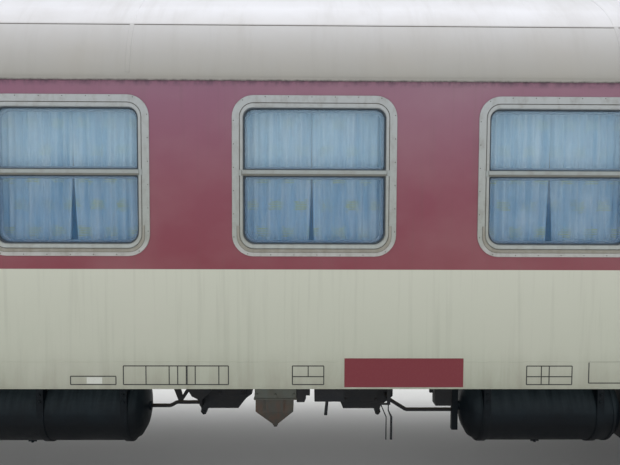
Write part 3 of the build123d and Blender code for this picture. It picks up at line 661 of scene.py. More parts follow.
# inset into the pane, out from the wall
GASKET_ROWS = ((0.0, -0.003), (0.002, 0.0), (0.005, -0.001), (0.0078, -0.005), (0.0085, -0.024))
REVEAL_ROWS = ((0.004, -0.037), (0.018, -0.038), (0.022, -0.044), (0.022, -0.06))
# foot, top, corner radius at the foot, at the top
UPPER_PANE = (2.5165, 2.915, 0.014, 0.064)
LOWER_PANE = (2.036, 2.4805, 0.077, 0.02)
SMALL_PANE = (2.44, 2.92, 0.05, 0.05)
PANE_HALF, SMALL_PANE_HALF = 0.462, 0.238
# height, out from the wall
TRANSOM = ((2.48, -0.02), (2.48, 0.003), (2.4825, 0.004), (2.491, 0.0085), (2.4935, 0.012), (2.5135, 0.012),
           (2.516, 0.009), (2.5175, 0.002), (2.5175, -0.02))
# limits past the transom's end, limits out from the wall, limits in height, material, chamfer
TRANSOM_ENDS = (((0.003, 0.019), (0.002, 0.0125), (2.478, 2.519), 3, 0.004),
                ((-0.001, 0.004), (-0.004, 0.01), (2.481, 2.516), 1, 0.001))
TRAY_TOP_Z = 2.156
TRAY_ROWS = (
    # side inset, low inset, corner radius, out from the wall, material onwards
    (0.0305, 0.0250, 0.1075, 0.0055, 1),
    (0.0310, 0.0255, 0.1070, 0.0064, 1),
    (0.0325, 0.0270, 0.1055, 0.0064, 4),
    (0.0335, 0.0280, 0.1045, 0.0090, 4),
    (0.0460, 0.0450, 0.0965, 0.0095, 4),
    (0.0500, 0.0490, 0.0945, 0.0050, 4),
)
SCREW_INSET, SCREW_SPACING, SCREW_CORNER_R = 0.0105, 0.153, 0.1295


def on_wall(side, outline, out):
    """Puts an outline of (u, v) on a straight side wall, out from its face."""
    return [(u, side * (FACE_Y + out), v) for u, v in outline]


def window_bar_and_tray(rings, side, x, left, right, foot):
    """Transom with its end brackets, and the drip tray that turns up at both sides of the foot."""
    reach = PANE_HALF + 0.006
    # the lower chamfer, facing down, takes the shaded copy of the bar's metal as painted shade
    for profile, look in ((TRANSOM[:4], 5), (TRANSOM[3:], 3)):
        rings.loft([[(x + u, side * (FACE_Y + out), z) for z, out in profile] for u in (-reach, reach)], look,
                   ring=False)
    for way, (past, out, z, look, edge) in product(BOTH, TRANSOM_ENDS):
        rings.box(beyond(x + way * reach, way, *past), beyond(side * FACE_Y, side, *out), z, look, edge)
    loops = []
    for inset, up, radius, out, _ in TRAY_ROWS:
        outline = rounded_loop(left + inset, right - inset, foot + up, TRAY_TOP_Z, radius, 0.001)
        quarter = len(outline) // 4
        bend = [(left + inset, TRAY_TOP_Z), *outline[3 * quarter:], *outline[:quarter],
                (right - inset, TRAY_TOP_Z)]
        loops.append(on_wall(side, bend, out))
    rings.loft(loops, [row[4] for row in TRAY_ROWS], ring=False)
    for end in (0, -1):
        rings.add([loop[end] for loop in loops], [range(len(loops))], 4)


def window_screws(screws, side, outline):
    """Evenly spaced screw heads along an outline."""
    runs = [(Vector(a), Vector(b)) for a, b in zip(outline, outline[1:] + outline[:1])]
    total = sum((b - a).length for a, b in runs)
    spacing = total / round(total / SCREW_SPACING)
    done, due = 0.0, spacing / 2
    for a, b in runs:
        while due <= done + (b - a).length:
            spot = a.lerp(b, (due - done) / (b - a).length)
            screws.stud((spot.x, side * (FACE_Y + 0.0055), spot.y), (0, side, 0), 0.0038)
            due += spacing
        done += (b - a).length


def window_ring(rings, gaskets, screws, side, x, wide, high, mid_z, shrink, panes, pane_half):
    """One window's frame, pane gaskets, reveals and screws. shrink is what the insets at the top and at the
    foot are multiplied by, and what comes off the corner radii."""
    left, right, foot, top = x - wide / 2, x + wide / 2, mid_z - high / 2, mid_z + high / 2
    loops = []
    for inset, down, up, radius_low, radius_high, out, _ in LARGE_ROWS:
        outline = rounded_loop(left + inset, right - inset, foot + up * shrink[1], top - down * shrink[0],
                               max(radius_low - shrink[2], 0.048), max(radius_high - shrink[2], 0.048))
        loops.append(on_wall(side, outline, out))
    rings.loft(loops, [row[6] for row in LARGE_ROWS])
    for (low, peak, *radii), (look, rows) in product(panes, enumerate((GASKET_ROWS, REVEAL_ROWS))):
        loops = []
        for inset, out in rows:
            outline = rounded_loop(x - pane_half + inset, x + pane_half - inset, low + inset, peak - inset,
                                   *(radius - inset * 0.2 for radius in radii))
            loops.append(on_wall(side, outline, out))
        gaskets.loft(loops, look)
    if len(panes) == 2:
        window_bar_and_tray(rings, side, x, left, right, foot)
    radius = SCREW_CORNER_R - shrink[2]
    window_screws(screws, side, rounded_loop(left + SCREW_INSET, right - SCREW_INSET, foot + SCREW_INSET,
                                             top - SCREW_INSET, radius, radius, 6))


def make_windows():
    for name, side, pitch, count in WINDOW_ROWS:
        rings, gaskets, screws = Shape(), Shape(), Shape()
        for k in range(-count, count + 1):
            window_ring(rings, gaskets, screws, side, pitch * k, FRAME_W, FRAME_H, FRAME_MID_Z, (1, 1, 0),
                        (UPPER_PANE, LOWER_PANE), PANE_HALF)
        for x in (-WASHROOM_X, WASHROOM_X):
            window_ring(rings, gaskets, screws, side, x, SMALL_W, SMALL_W, SMALL_MID_Z, (0.864, 0.875, 0.04),
                        (SMALL_PANE,), SMALL_PANE_HALF)
        rings.build(f"window_rings_{name}", [ALUMINIUM, GROOVE, INNER_RING, CROSS_BAR, TRAY, CROSS_BAR_SHADED],
                    slot="frame_aluminium", replaces=[f"window_frames_{name}"])
        gaskets.build(f"window_gaskets_{name}", [GASKET, REVEAL], slot="rubber_black")
        screws.build(f"window_screws_{name}", [GROOVE], slot="bright_steel")


CURTAIN_TOP_Z, CURTAIN_FOOT_Z, CURTAIN_Y, CURTAIN_REACH = 2.984, 1.966, 1.32, 0.495
FOLD_DEPTH = 0.018
# fewest and most folds across (in half waves), share of the depth
FOLDS = ((18, 23, 0.55), (8, 12, 0.35), (27, 33, 0.15))


def curtain_half(left, right, parting, draw, side, rng):
    """One gathered half, hanging from the rail in deep folds that loosen towards the hem. It meets the
    other half at the share across given by parting, and is drawn back from there towards the hem."""
    across, down = 150, 15
    foot = CURTAIN_FOOT_Z + rng.uniform(0, 0.01)
    waves = [(rng.uniform(fewest, most), rng.uniform(0, 6.28), size) for fewest, most, size in FOLDS]
    points = []
    for j, i in product(range(down + 1), range(across + 1)):
        drop, share = j / down, i / across
        sway = sum(size * sin(rate * pi * share + start + 0.5 * drop * sin(start + 3 * drop))
                   for rate, start, size in waves)
        deep = FOLD_DEPTH * (1 - 0.2 * drop) * max(-1.0, min(1.0, sway))
        pinch = 0.005 * drop * sin(pi * share) * sin(2 * pi * share + waves[0][1])
        curve = drop * (0.55 + 0.45 * sin(pi * (drop - 0.5)))
        back = draw * curve * (1 - abs(parting - share)) ** 2 * (1 if parting == 0 else -1)
        points.append((left + (right - left) * share + pinch + back, side * (CURTAIN_Y + deep),
                       CURTAIN_TOP_Z + (foot - CURTAIN_TOP_Z) * drop))
    width = across + 1
    shape = Shape()
    shape.add(points, [(k, k + 1, k + 1 + width, k + width) for k in range(down * width)
                       if k % width < across])
    return shape, CURTAIN_TOP_Z - foot


def make_curtains():
    rng = random.Random(7)
    for name, side, pitch, count in WINDOW_ROWS:
        for k in range(-count, count + 1):
            x = pitch * k
            meet = x + rng.uniform(-0.03, 0.03)
            for half, left, right, parting in (("left", x - CURTAIN_REACH, meet - 0.001, 1),
                                               ("right", meet + 0.001, x + CURTAIN_REACH, 0)):
                shape, drop = curtain_half(left, right, parting, rng.uniform(0.004, 0.04), side, rng)
                obj = shape.build(f"curtain_{name}_{k + count + 1}_{half}", [CLOTH], slot="curtain_cloth",
                                  replaces=[f"curtains_{name}"], smooth_deg=80)


# Body details

def roof_height(y):
    """Height of the roof's outer face at a distance across: a flat arc between two coves."""
    rise = ROOF_Z - GUTTER_Z
    reach = FACE_Y - COVE_R
    top_r = (reach ** 2 + rise ** 2 - COVE_R ** 2) / (2 * (rise - COVE_R))
    top_z = ROOF_Z - top_r
    y = abs(y)
    if y <= top_r * cos(atan2(GUTTER_Z - top_z, reach)):
        return top_z + sqrt(top_r ** 2 - y * y)
    return GUTTER_Z + sqrt(max(COVE_R ** 2 - (y - reach) ** 2, 0.0))


SEAM_PITCH, SEAM_START_X = 3.2, -1.2
LAP_Y = 1.322
# along the roof's slope, out from it
LAP = ((-0.012, -0.002), (-0.01, 0.0025), (0.01, 0.0025), (0.012, -0.002))
# dark strip just below the lap, painted as its shadow line and sealant
LAP_SHADOW_LINE = ((0.01, -0.002), (0.011, 0.0012), (0.015, 0.0012), (0.016, -0.002))


def make_roof_seams():
    """Standing seams over the roof every 3.2 m, and a lap along each side with a dark strip below it painted
    as its shadow line and sealant.
    """
    shape = Shape()
    steps, low_y = 40, 1.4385
    marks = [low_y * sin(pi * (k / steps - 0.5)) for k in range(steps + 1)]
    line = [(y, roof_height(y)) for y in marks]

    def lifted(x, out):
        points = []
        for i, (y, z) in enumerate(line):
            y0, z0 = line[max(i - 1, 0)]
            y1, z1 = line[min(i + 1, steps)]
            points.append(Vector((x, y, z)) + Vector((0, z0 - z1, y1 - y0)).normalized() * out)
        return points
    for k in range(-3, 4):
        x = SEAM_START_X + SEAM_PITCH * k
        shape.loft([lifted(x + dx, out) for dx, out in ((-0.016, -0.001), (-0.013, 0.003), (0.013, 0.003),
                                                        (0.016, -0.001))], ring=False)
    slope = (roof_height(LAP_Y + 0.01) - roof_height(LAP_Y - 0.01)) / 0.02
    normal = Vector((0, -slope, 1)).normalized()
    along = Vector((0, 1, slope)).normalized()
    for side, (look, profile) in product(BOTH, enumerate((LAP, LAP_SHADOW_LINE))):
        spots = [Vector((0, LAP_Y, roof_height(LAP_Y))) + along * u + normal * out for u, out in profile]
        shape.loft([[(x, side * p.y, p.z) for p in spots] for x in (-STRAIGHT_X, STRAIGHT_X)], look,
                   caps=True)
    shape.build("roof_seams", [ROOF, GROOVE], slot="roof_grey_paint")


VENT_NEAR_Y, VENT_FAR_Y, VENT_HALF = 0.51, 0.69, 0.105


def make_vent_details():
    """Rain caps, louvre blades over dark strips painted as the shade in their slots, and foot flanges of the
    extractor vents.
    """
    shape = Shape()
    for k, side in product(range(-5, 6), BOTH):
        x, near, far = PITCH * k, side * VENT_NEAR_Y, side * VENT_FAR_Y
        wide, flange = about(x, VENT_HALF), about(x, 0.205)
        shape.box(about(x, 0.116), (near - side * 0.005, far + side * 0.005), (4.064, 4.074), 0, 0.003)
        # the dark strips between the blades are painted shade standing for the open slots
        for z in (4.0, 4.018, 4.036):
            shape.box(wide, about(far, 0.002), (z, z + 0.008), 1, 0.001)
            shape.box(wide, (far - side * 0.002, far + side * 0.007), (z + 0.008, z + 0.011), 0, 0.001)
        # dark strip painted as the shade in the slot on the near face
        shape.box(wide, about(near, 0.002), (4.042, 4.05), 1, 0.001)
        shape.box(flange, (far - side * 0.004, far + side * 0.02),
                  (roof_height(VENT_FAR_Y + 0.02) - 0.003, roof_height(VENT_FAR_Y) + 0.006), 0, 0.003)
        shape.box(flange, (near - side * 0.02, near + side * 0.004),
                  (roof_height(VENT_NEAR_Y) - 0.003, roof_height(VENT_NEAR_Y - 0.02) + 0.006), 0, 0.003)
    shape.build("vent_details", [ROOF, GROOVE], slot="roof_grey_paint")


def make_wall_seams():
    """Fine lap along each side above its foot, and the bead along the foot itself."""
    shape = Shape()
    for side, (out, z, edge) in product(BOTH, ((0.0012, about(SEAM_Z, 0.003), 0.0008),
                                               (0.003, (SKIRT_Z, SKIRT_Z + 0.012), 0.002))):
        shape.box((-STRAIGHT_X, STRAIGHT_X), beyond(side * FACE_Y, side, -0.001, out), z, 0, edge)
    shape.build("wall_seams", [PAINT], slot="dark_red_paint")


MARK_LOW_Z, MARK_MID_Z, MARK_TOP_Z = 1.108, 1.161, 1.232
LINE_HALF = 0.0034
MARK_BOXES = (
    # left, right, foot, top, uprights, levels
    (-1.596, -1.299, MARK_LOW_Z, 1.163, (), ()),
    (-1.25, -0.561, MARK_LOW_Z, MARK_TOP_Z, (-1.102, -0.95, -0.894, -0.779, -0.624), ()),
    (-0.14, 0.067, MARK_LOW_Z, MARK_TOP_Z, (), (MARK_MID_Z,)),
    (1.411, 1.713, MARK_LOW_Z, MARK_TOP_Z, (1.509, 1.561), (MARK_MID_Z,)),
    (1.825, 2.145, 1.118, 1.259, (), ()),
)


def make_marks():
    """Blank outlines of the panel's markings and a red patch, all thin paint."""
    black, red, white = Shape(), Shape(), Shape()

    def paint(shape, x, z, out=0.0006, edge=0.0):
        shape.box(x, (-FACE_Y - out, -FACE_Y + 0.001), z, 0, edge)
    for left, right, foot, top, uprights, levels in MARK_BOXES:
        for z in (foot, top, *levels):
            paint(black, (left, right), about(z, LINE_HALF))
        for x in (left, right, *uprights):
            paint(black, about(x, LINE_HALF), (foot, top))
    paint(black, (-0.841, -0.829), (MARK_LOW_Z, MARK_TOP_Z))
    paint(black, about(-0.036, LINE_HALF), (MARK_MID_Z, MARK_TOP_Z))
    paint(white, (-1.49, -1.39), (1.114, 1.157), 0.0004)
    paint(red, (0.203, 0.99), (SKIRT_Z + 0.001, 1.283), 0.0018, 0.0006)
    black.build("mark_lines", [MARK_BLACK], slot="underframe_black")
    red.build("mark_red_patch", [MARK_RED], slot="dark_red_paint")
    white.build("mark_white_patch", [MARK_WHITE], slot="roof_grey_paint")


# Doors

def slanted(end, side):
    """Places s along a slanted side from its inboard corner, n inwards from its face, z up."""
    def at(s, n, z):
        x = STRAIGHT_X + s * cos(SLANT) - n * sin(SLANT)
        y = FACE_Y - s * sin(SLANT) - n * cos(SLANT)
        return (end * x, side * y, z)
    return at


# inset into the pane, n
DOOR_RING_ROWS = ((-0.022, 0.0205), (-0.02, 0.015), (-0.006, 0.014), (0.0, 0.017), (0.004, 0.025),
                  (0.004, 0.035))
PANE_MARGIN, HANDLE_MARGIN = 0.08, 0.04
EDGE_RUBBER_Z = (1.276, 3.003)
# n and z along the handle
HANDLE = ((0.018, 2.06), (-0.002, 2.06), (-0.01, 2.054), (-0.01, 1.97))


def make_door_details():
    """Pressed panels, window rings, edge rubbers, kick plates and handles on the eight leaves."""
    for (end_name, end), (side_name, side), (leaf, start) in product(ENDS, SIDES, LEAF_STARTS.items()):
        shape = Shape()
        at = slanted(end, side)
        body = f"door_{end_name}_{side_name}_{leaf}"
        stop = start + LEAF_W
        loops = []
        for inset, n in DOOR_RING_ROWS:
            radius = max(0.035 - inset, 0.01)
            outline = rounded_loop(start + PANE_MARGIN + inset, stop - PANE_MARGIN - inset, 2.16 + inset,
                                   2.86 - inset, radius, radius, 6)
            loops.append([at(u, n, v) for u, v in outline])
        shape.loft(loops, [0, 0, 1, 1, 1])
        shape.box((start + 0.045, stop - 0.045), (0.016, 0.021), (1.33, 1.96), 2, 0.004, at)
        shape.box((start + 0.01, stop - 0.01), (0.0175, 0.021), (1.28, 1.318), 3, 0.001, at)
        if leaf == "far":
            grip = stop - HANDLE_MARGIN
            shape.box(about(grip, 0.022), (0.015, 0.021), (1.99, 2.12), 3, 0.002, at)
            shape.rings([at(grip, n, z) for n, z in HANDLE], (0.0085, 0.0085, 0.0085, 0.0075), 12, 3)
            shape.box((stop - 0.001, stop + 0.006), (0.028, 0.052), EDGE_RUBBER_Z, 1, 0.002, at)
        else:
            shape.box((stop - 0.001, stop + 0.01), (0.034, 0.056), EDGE_RUBBER_Z, 1, 0.002, at)
        shape.build(f"{body}_trim", [ALUMINIUM, RUBBER, PAINT, STEEL], body, slot="dark_red_paint")


def make_door_sills():
    """Steel threshold with a ribbed edge under each entrance."""
    shape = Shape()
    for end, side in product(BOTH, BOTH):
        at = slanted(end, side)
        shape.box((0.144, 0.89), (0.004, 0.058), (FLOOR_Z + 0.002, DECK_Z - 0.001), 0, 0.003, at)
        for n in (0.012, 0.026, 0.04):
            shape.box((0.15, 0.884), (n, n + 0.006), (DECK_Z - 0.002, DECK_Z + 0.001), 1, 0.001, at)
    shape.build("door_sills", [BLACK, STEEL], slot="underframe_black")


# inset into the pane, out from the door's face
GANGWAY_PANE_ROWS = ((-0.02, -0.001), (-0.019, 0.003), (-0.014, 0.004), (0.004, 0.004), (0.01, 0.0),
                     (0.012, -0.01))


def make_gangway_door_details():
    """Window gasket, kick plate, stiffening swages and flush pull of the two gangway doors."""
    for name, end in ENDS:
        shape = Shape()
        low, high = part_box(f"gangway_door_{name}")
        face = high[0] if end > 0 else low[0]
        loops = []
        for inset, out in GANGWAY_PANE_ROWS:
            outline = rounded_loop(inset - 0.25, 0.25 - inset, 2.05 + inset, 2.95 - inset, 0.035, 0.035, 6)
            loops.append([(face + end * out, u, v) for u, v in outline])
        shape.loft(loops)
        for y, z in product((-0.35, 0.35), (1.305, 1.42)):
            shape.stud((face + end * 0.003, y, z), (end, 0, 0), 0.008, 1)
        swages = [(0.003, (-0.33, 0.33), (z, z + 0.022), 2, 0.0014) for z in (1.5, 1.95, 3.01)]
        for out, y, z, look, edge in ((0.003, (-0.37, 0.37), (1.285, 1.44), 1, 0.001),
                                      (0.002, (0.285, 0.345), (2.06, 2.23), 1, 0.001),
                                      (0.0035, (0.297, 0.333), (2.08, 2.21), 0, 0.001), *swages):
            shape.box((face, face + end * out), y, z, look, edge)
        shape.build(f"gangway_door_{name}_trim", [RUBBER, STEEL, GREY_DOOR], f"gangway_door_{name}",
                    slot="interior_panel")


# Running gear

def coil(shape, x, y, low, high, outer, wire, turns):
    """Coil spring with flat closed ends."""
    steps = int(turns * 20)
    middle = outer - wire
    centres = []
    for k in range(steps + 1):
        share = k / steps
        ease = min(max((share * turns - 0.75) / (turns - 1.5), 0.0), 1.0)
        turn = 2 * pi * turns * share
        centres.append((x + middle * cos(turn), y + middle * sin(turn),
                        low + wire + (high - low - 2 * wire) * ease))
    shape.rings(centres, wire, 8)


def make_springs():
    """Bolster and axle coils of both bogies with their end rings, and guide posts inside the axle coils."""
    for name, end in ENDS:
        shape = Shape()
        for y, dx in product((-1.125, 1.125), (-0.13, 0.13)):
            x = end * PIVOT_X + dx
            coil(shape, x, y, 0.4, 0.86, 0.105, 0.0185, 7.5)
            shape.turned((x, y, 0.4), UP, [(0, 0.104), (0.012, 0.104), (0.012, 0.06)])
            shape.turned((x, y, 0.848), UP, [(0, 0.06), (0, 0.104), (0.012, 0.104)])
        for axle, y, dx in product(AXLES, (-0.945, 0.945), (-0.27, 0.27)):
            x = end * PIVOT_X + axle + dx
            coil(shape, x, y, 0.44, 0.74, 0.08, 0.015, 6.5)
            shape.turned((x, y, 0.44), UP, [(0, 0.079), (0.01, 0.079), (0.01, 0.045)])
            shape.turned((x, y, 0.44), UP, [(0, 0.03), (0.29, 0.03)], 16)
        shape.build(f"coil_springs_{name}", [BOGIE], f"bogie_{name}", slot="bogie_steel",
                    replaces=[f"bogie_{name}_springs"])


# along, radius
AXLE_COVER = ((0, 0.098), (0.01, 0.098), (0.014, 0.092), (0.016, 0.06), (0.024, 0.05), (0.026, 0.02))
AXLE_FLANGE = ((0.0, 0.124), (0.012, 0.124), (0.016, 0.118), (0.016, 0.1))
DAMPER = ((0, 0.024), (0.15, 0.024), (0.15, 0.032), (0.3, 0.032), (0.3, 0.02))


def bogie_side(shape, cx, side):
    """Axle covers and dampers, gussets, rivets and the side damper of one side frame of a bogie."""
    out = (0, side, 0)
    for axle in AXLES:
        x = cx + axle
        shape.turned((x, side * 1.084, AXLE_Z), out, AXLE_COVER, 32)
        shape.turned((x, side * 1.02, AXLE_Z), out, AXLE_FLANGE, 32)
        for k in range(8):
            turn = pi * (k + 0.5) / 4
            shape.bolt((x + 0.098 * cos(turn), side * 1.0845, AXLE_Z + 0.098 * sin(turn)), out, 0.0095)
        for dx in (-0.19, 0.19):
            shape.turned((x + dx, side * 1.045, 0.47), UP, DAMPER, 20)
            shape.box(about(x + dx, 0.02), (side * 1.0, side * 1.06), (0.448, 0.474), 0, 0.004)
    for dx in (-0.56, 0.56):
        shape.box(about(cx + dx, 0.006), (side * 1.006, side * 1.05), (0.66, 0.82), 0, 0.002)
    for dx in [-1.6 + 0.16 * k for k in range(21)]:
        z = 0.846 if abs(dx) > 1.45 else 0.881 if abs(dx) > 0.75 else 0.801
        shape.stud((cx + dx, side * 1.0095, z), out, 0.011)
    for start, radius in ((-0.2, 0.022), (0.3, 0.034)):
        shape.bar((cx + start, side * 1.03, 0.93), (cx + 0.6, side * 1.03, 0.93), radius, 20)
    shape.box((cx + 0.58, cx + 0.64), (side * 0.985, side * 1.055), (0.82, 0.965), 0, 0.006)


def make_bogie_details():
    """The details of both side frames of each bogie, and the pins at the feet of its outer brake hangers."""
    for name, end in ENDS:
        shape = Shape()
        cx = end * PIVOT_X
        for side in BOTH:
            bogie_side(shape, cx, side)
        for dx, y in product((-1.8, 1.8), (-0.76, 0.76)):
            shape.turned((cx + dx - 0.02, y, 0.48), (1, 0, 0), [(0, 0.026), (0.04, 0.026)], 16)
        shape.build(f"bogie_details_{name}", [BOGIE], f"bogie_{name}", slot="bogie_steel")


# Equipment seen under the floor

TANK_Y, TANK_Z, TANK_R, TANK_DISH = -1.0, 0.809, 0.24, 0.11
# ends of each tank, places of its straps
TANKS = ((-2.94, -1.192, (-2.74, -1.894, -1.317)), (1.088, 2.232, (1.221, 2.017)))
WELD = ((0, TANK_R - 0.002), (0.004, TANK_R + 0.004), (0.02, TANK_R + 0.004), (0.024, TANK_R - 0.002))


def make_tank_details():
    """Weld rings, end bosses, drain cocks and strap bolts of the air tanks."""
    shape = Shape()
    for x0, x1, straps in TANKS:
        for x in (x0 + TANK_DISH, x1 - TANK_DISH):
            shape.turned((x - 0.012, TANK_Y, TANK_Z), (1, 0, 0), WELD, 64, caps=False)
        for x, way in ((x0, -1), (x1, 1)):
            shape.turned((x, TANK_Y, TANK_Z), (way, 0, 0),
                         [(-0.004, 0.034), (0.006, 0.034), (0.01, 0.028), (0.01, 0.018)])
        middle = (x0 + x1) / 2
        shape.turned((middle, TANK_Y, TANK_Z - TANK_R + 0.004), DOWN,
                     [(0, 0.018), (0.012, 0.018), (0.012, 0.01), (0.04, 0.01)], 16)
        shape.bar(*((x, TANK_Y, TANK_Z - TANK_R - 0.026) for x in about(middle, 0.03)), 0.005, 10)
        for x, way, dz in product(straps, BOTH, (0.11, 0.16)):
            shape.bolt((x, TANK_Y + way * 0.2485, TANK_Z + dz), (0, way, 0), 0.011)
    shape.build("tank_details", [TANK], slot="underframe_black")


def make_hopper_details():
    """Flange, rim and bolts of the drain hopper and the covers of the housings beside it."""
    shape = Shape()
    shape.box((-0.402, -0.109), (-1.358, -1.154), (0.974, 0.986), 0, 0.003)
    for x in (-0.38, -0.2555, -0.131):
        shape.bolt((x, -1.352, 1.01), (0, -1, 0), 0.009)
    for x in (-0.33, -0.196):
        shape.bar((x, -1.349, 0.905), (x, -1.349, 0.968), 0.004, 8)
    shape.turned((-0.2605, -1.25, 0.775), DOWN,
                 [(0, 0.018), (0.012, 0.018), (0.012, 0.013), (0.022, 0.013)], 20)
    shape.build("hopper_details", [HOPPER], slot="underframe_black")
    boxes = Shape()
    for x0, x1, z0, z1 in ((-0.715, -0.505, 0.85, 1.04), (0.235, 0.5, 0.8, 1.04)):
        boxes.box((x0, x1), (-0.912, -0.899), (z0, z1), 0, 0.004)
        for x, z in product((x0 + 0.02, x1 - 0.02), (z0 + 0.022, z1 - 0.022)):
            boxes.bolt((x, -0.9115, z), (0, -1, 0), 0.01)
    for x0, x1, z0 in ((0.008, 0.21, 0.962), (-0.113, -0.06, 0.958)):
        boxes.box((x0 + 0.006, x1 - 0.006), (-1.359, -1.352), (z0 + 0.01, 1.07), 0, 0.002)
    for x in (-0.821, 0.5):
        boxes.turned((x, -0.912, 0.716), (0, 1, 0), [(0, 0.01), (0.024, 0.01)], 16)
    boxes.build("housing_details", [BLACK], slot="underframe_black")


def make_battery_details():
    """Lids, hinges, latches and vent slots of the battery boxes."""
    shape = Shape()
    for x0, x1, side in ((2.3, 3.9, -1), (2.3, 3.9, 1), (-4.7, -3.3, 1)):
        face = side * 1.3
        width = (x1 - x0) / 2
        for k in range(2):
            left, right = x0 + k * width + 0.02, x0 + (k + 1) * width - 0.02
            shape.box((left, right), beyond(face, side, -0.002, 0.014), (0.59, 1.04), 0, 0.004)
            for z in [0.7 + 0.035 * j for j in range(5)]:
                shape.box((left + 0.12, right - 0.12), beyond(face, side, 0.01, 0.026), (z, z + 0.016),
                          0, 0.004)
            for x in (left + 0.1, right - 0.1):
                shape.bar(*((end, face + side * 0.016, 1.045) for end in about(x, 0.035)), 0.011, 14)
                shape.box(about(x, 0.018), beyond(face, side, 0.012, 0.026), (0.605, 0.665), 1, 0.004)
    shape.build("battery_details", [BLACK, STEEL], slot="underframe_black")


# Ends

# along, radius
LAMP_RIM = ((0, 0.094), (0.046, 0.094), (0.062, 0.088), (0.064, 0.078), (0.058, 0.076))
SOCKET = ((0, 0.052), (0.03, 0.052), (0.036, 0.044), (0.036, 0.02))
BUFFER_CASING = ((0, 0.128), (0.03, 0.128), (0.046, 0.1105), (0.275, 0.1105), (0.28, 0.122), (0.3, 0.122),
                 (0.305, 0.1105))
# out from the end, height
HAND_RAIL = ((0.0, 1.5), (0.05, 1.5), (0.06, 1.52), (0.06, 2.38), (0.05, 2.4), (0.0, 2.4))


def make_end_details():
    """Lamp rims, hand rails, sockets, bellows clamps, the roof over the bellows and the buffers' casings."""
    for name, end in ENDS:
        shape = Shape()
        face = end * END_X
        out = (end, 0, 0)
        for side in BOTH:
            rail_y = side * 1.25
            shape.turned((face, side * 1.08, 1.65), out, LAMP_RIM, 40)
            shape.rings([(face + end * away, rail_y, z) for away, z in HAND_RAIL], 0.013, 12, 1)
            for z in (1.5, 2.4):
                shape.turned((face, rail_y, z), out, [(0, 0.028), (0.006, 0.028), (0.006, 0.014)], 16, 1)
            shape.box((face, face + end * 0.07), (side * 0.88, side * 1.01), (1.9, 2.08), 0, 0.01)
            shape.turned((face + end * 0.06, side * 0.945, 1.99), out, SOCKET, 28)
            for dy, dz in product((-0.12, 0.12), (-0.095, 0.08)):
                shape.bolt((end * BUFFER_ROOT_X, side * BUFFER_Y + dy, BUFFER_Z + dz), out, 0.018)
            shape.turned((end * BUFFER_ROOT_X, side * BUFFER_Y, BUFFER_Z), out, BUFFER_CASING, 40, caps=False)
            for z in (1.42, 2.0, 2.62, 3.16):
                shape.box((face, face + end * 0.06), (side * 0.408, side * 0.5), about(z, 0.025), 0, 0.006)
        shape.box((face, face + end * 0.21), (-0.76, 0.76), (3.452, 3.47), 2, 0.004)
        shape.build(f"end_details_{name}", [BLACK, STEEL, ROOF], slot="underframe_black")


TUBE_X = END_X + 0.12
TUBE_BAND = ((0, 0.119), (0.002, 0.1235), (0.008, 0.1235), (0.01, 0.1215), (0.036, 0.1215), (0.038, 0.1235),
             (0.044, 0.1235), (0.046, 0.119))
TUBE_RIM = ((0, 0.1215), (0.008, 0.118), (0.008, 0.1), (0.004, 0.096))
PORTAL_Z = (1.272, 3.262)


def make_gangway_details():
    """Seam bands and end rims of the rubber tubes, and the steel portal round the gangway opening."""
    for name, end in ENDS:
        shape = Shape()
        x = end * TUBE_X
        portal_x = (end * END_X, end * (END_X + 0.034))
        for side in BOTH:
            for z in (1.34, 1.84, 2.34, 2.84):
                shape.turned((x, side * 0.6, z), UP, TUBE_BAND, 40, caps=False)
            shape.turned((x, side * 0.6, 1.342), DOWN, TUBE_RIM, 40)
            shape.turned((x, side * 0.4, 3.33), (0, side, 0), TUBE_BAND, 40, caps=False)
            shape.turned((x, side * 0.718, 3.33), (0, side, 0), TUBE_RIM, 40)
            shape.box(portal_x, (side * 0.384, side * 0.412), PORTAL_Z, 1, 0.004)
            for z in [1.4 + 0.23 * k for k in range(9)]:
                shape.bolt((portal_x[1], side * 0.398, z), (end, 0, 0), 0.009, 1)
        shape.box(portal_x, (-0.412, 0.412), (3.234, PORTAL_Z[1]), 1, 0.004)
        shape.build(f"gangway_details_{name}", [BELLOWS, BLACK], slot="rubber_black")


# side of the draw hook as (x, z): its shank, throat and rounded beak
HOOK = ((11.63, 1.048), (11.79, 1.048), (11.82, 1.032), (11.85, 1.022), (11.88, 1.027), (11.9, 1.042),
        (11.91, 1.07), (11.909, 1.1), (11.896, 1.124), (11.88, 1.13), (11.872, 1.11), (11.864, 1.085),
        (11.85, 1.072), (11.833, 1.072), (11.82, 1.085), (11.815, 1.105), (11.808, 1.118), (11.79, 1.124),
        (11.63, 1.128))
LINK_X, LINK_TOP_Z, LINK_FOOT_Z = 11.83, 1.095, 0.76
# how far each eye of a link goes on past half a turn
LINK_PAST = 0.35
# half of the coupling's bow as (y, z), from its eye down to its foot
BOW = ((0.088, LINK_FOOT_Z), (0.088, 0.6), (0.087, 0.56), (0.08, 0.525), (0.06, 0.5), (0.03, 0.487))
# half of each trunnion as (y, radius)
TRUNNION = ((0.03, 0.028), (0.034, 0.024), (0.072, 0.024), (0.075, 0.022))
# the lever and its weight as (z, radius)
LEVER = ((0.74, 0.009), (0.64, 0.008), (0.63, 0.012), (0.612, 0.021), (0.59, 0.024), (0.568, 0.018),
         (0.56, 0.006))


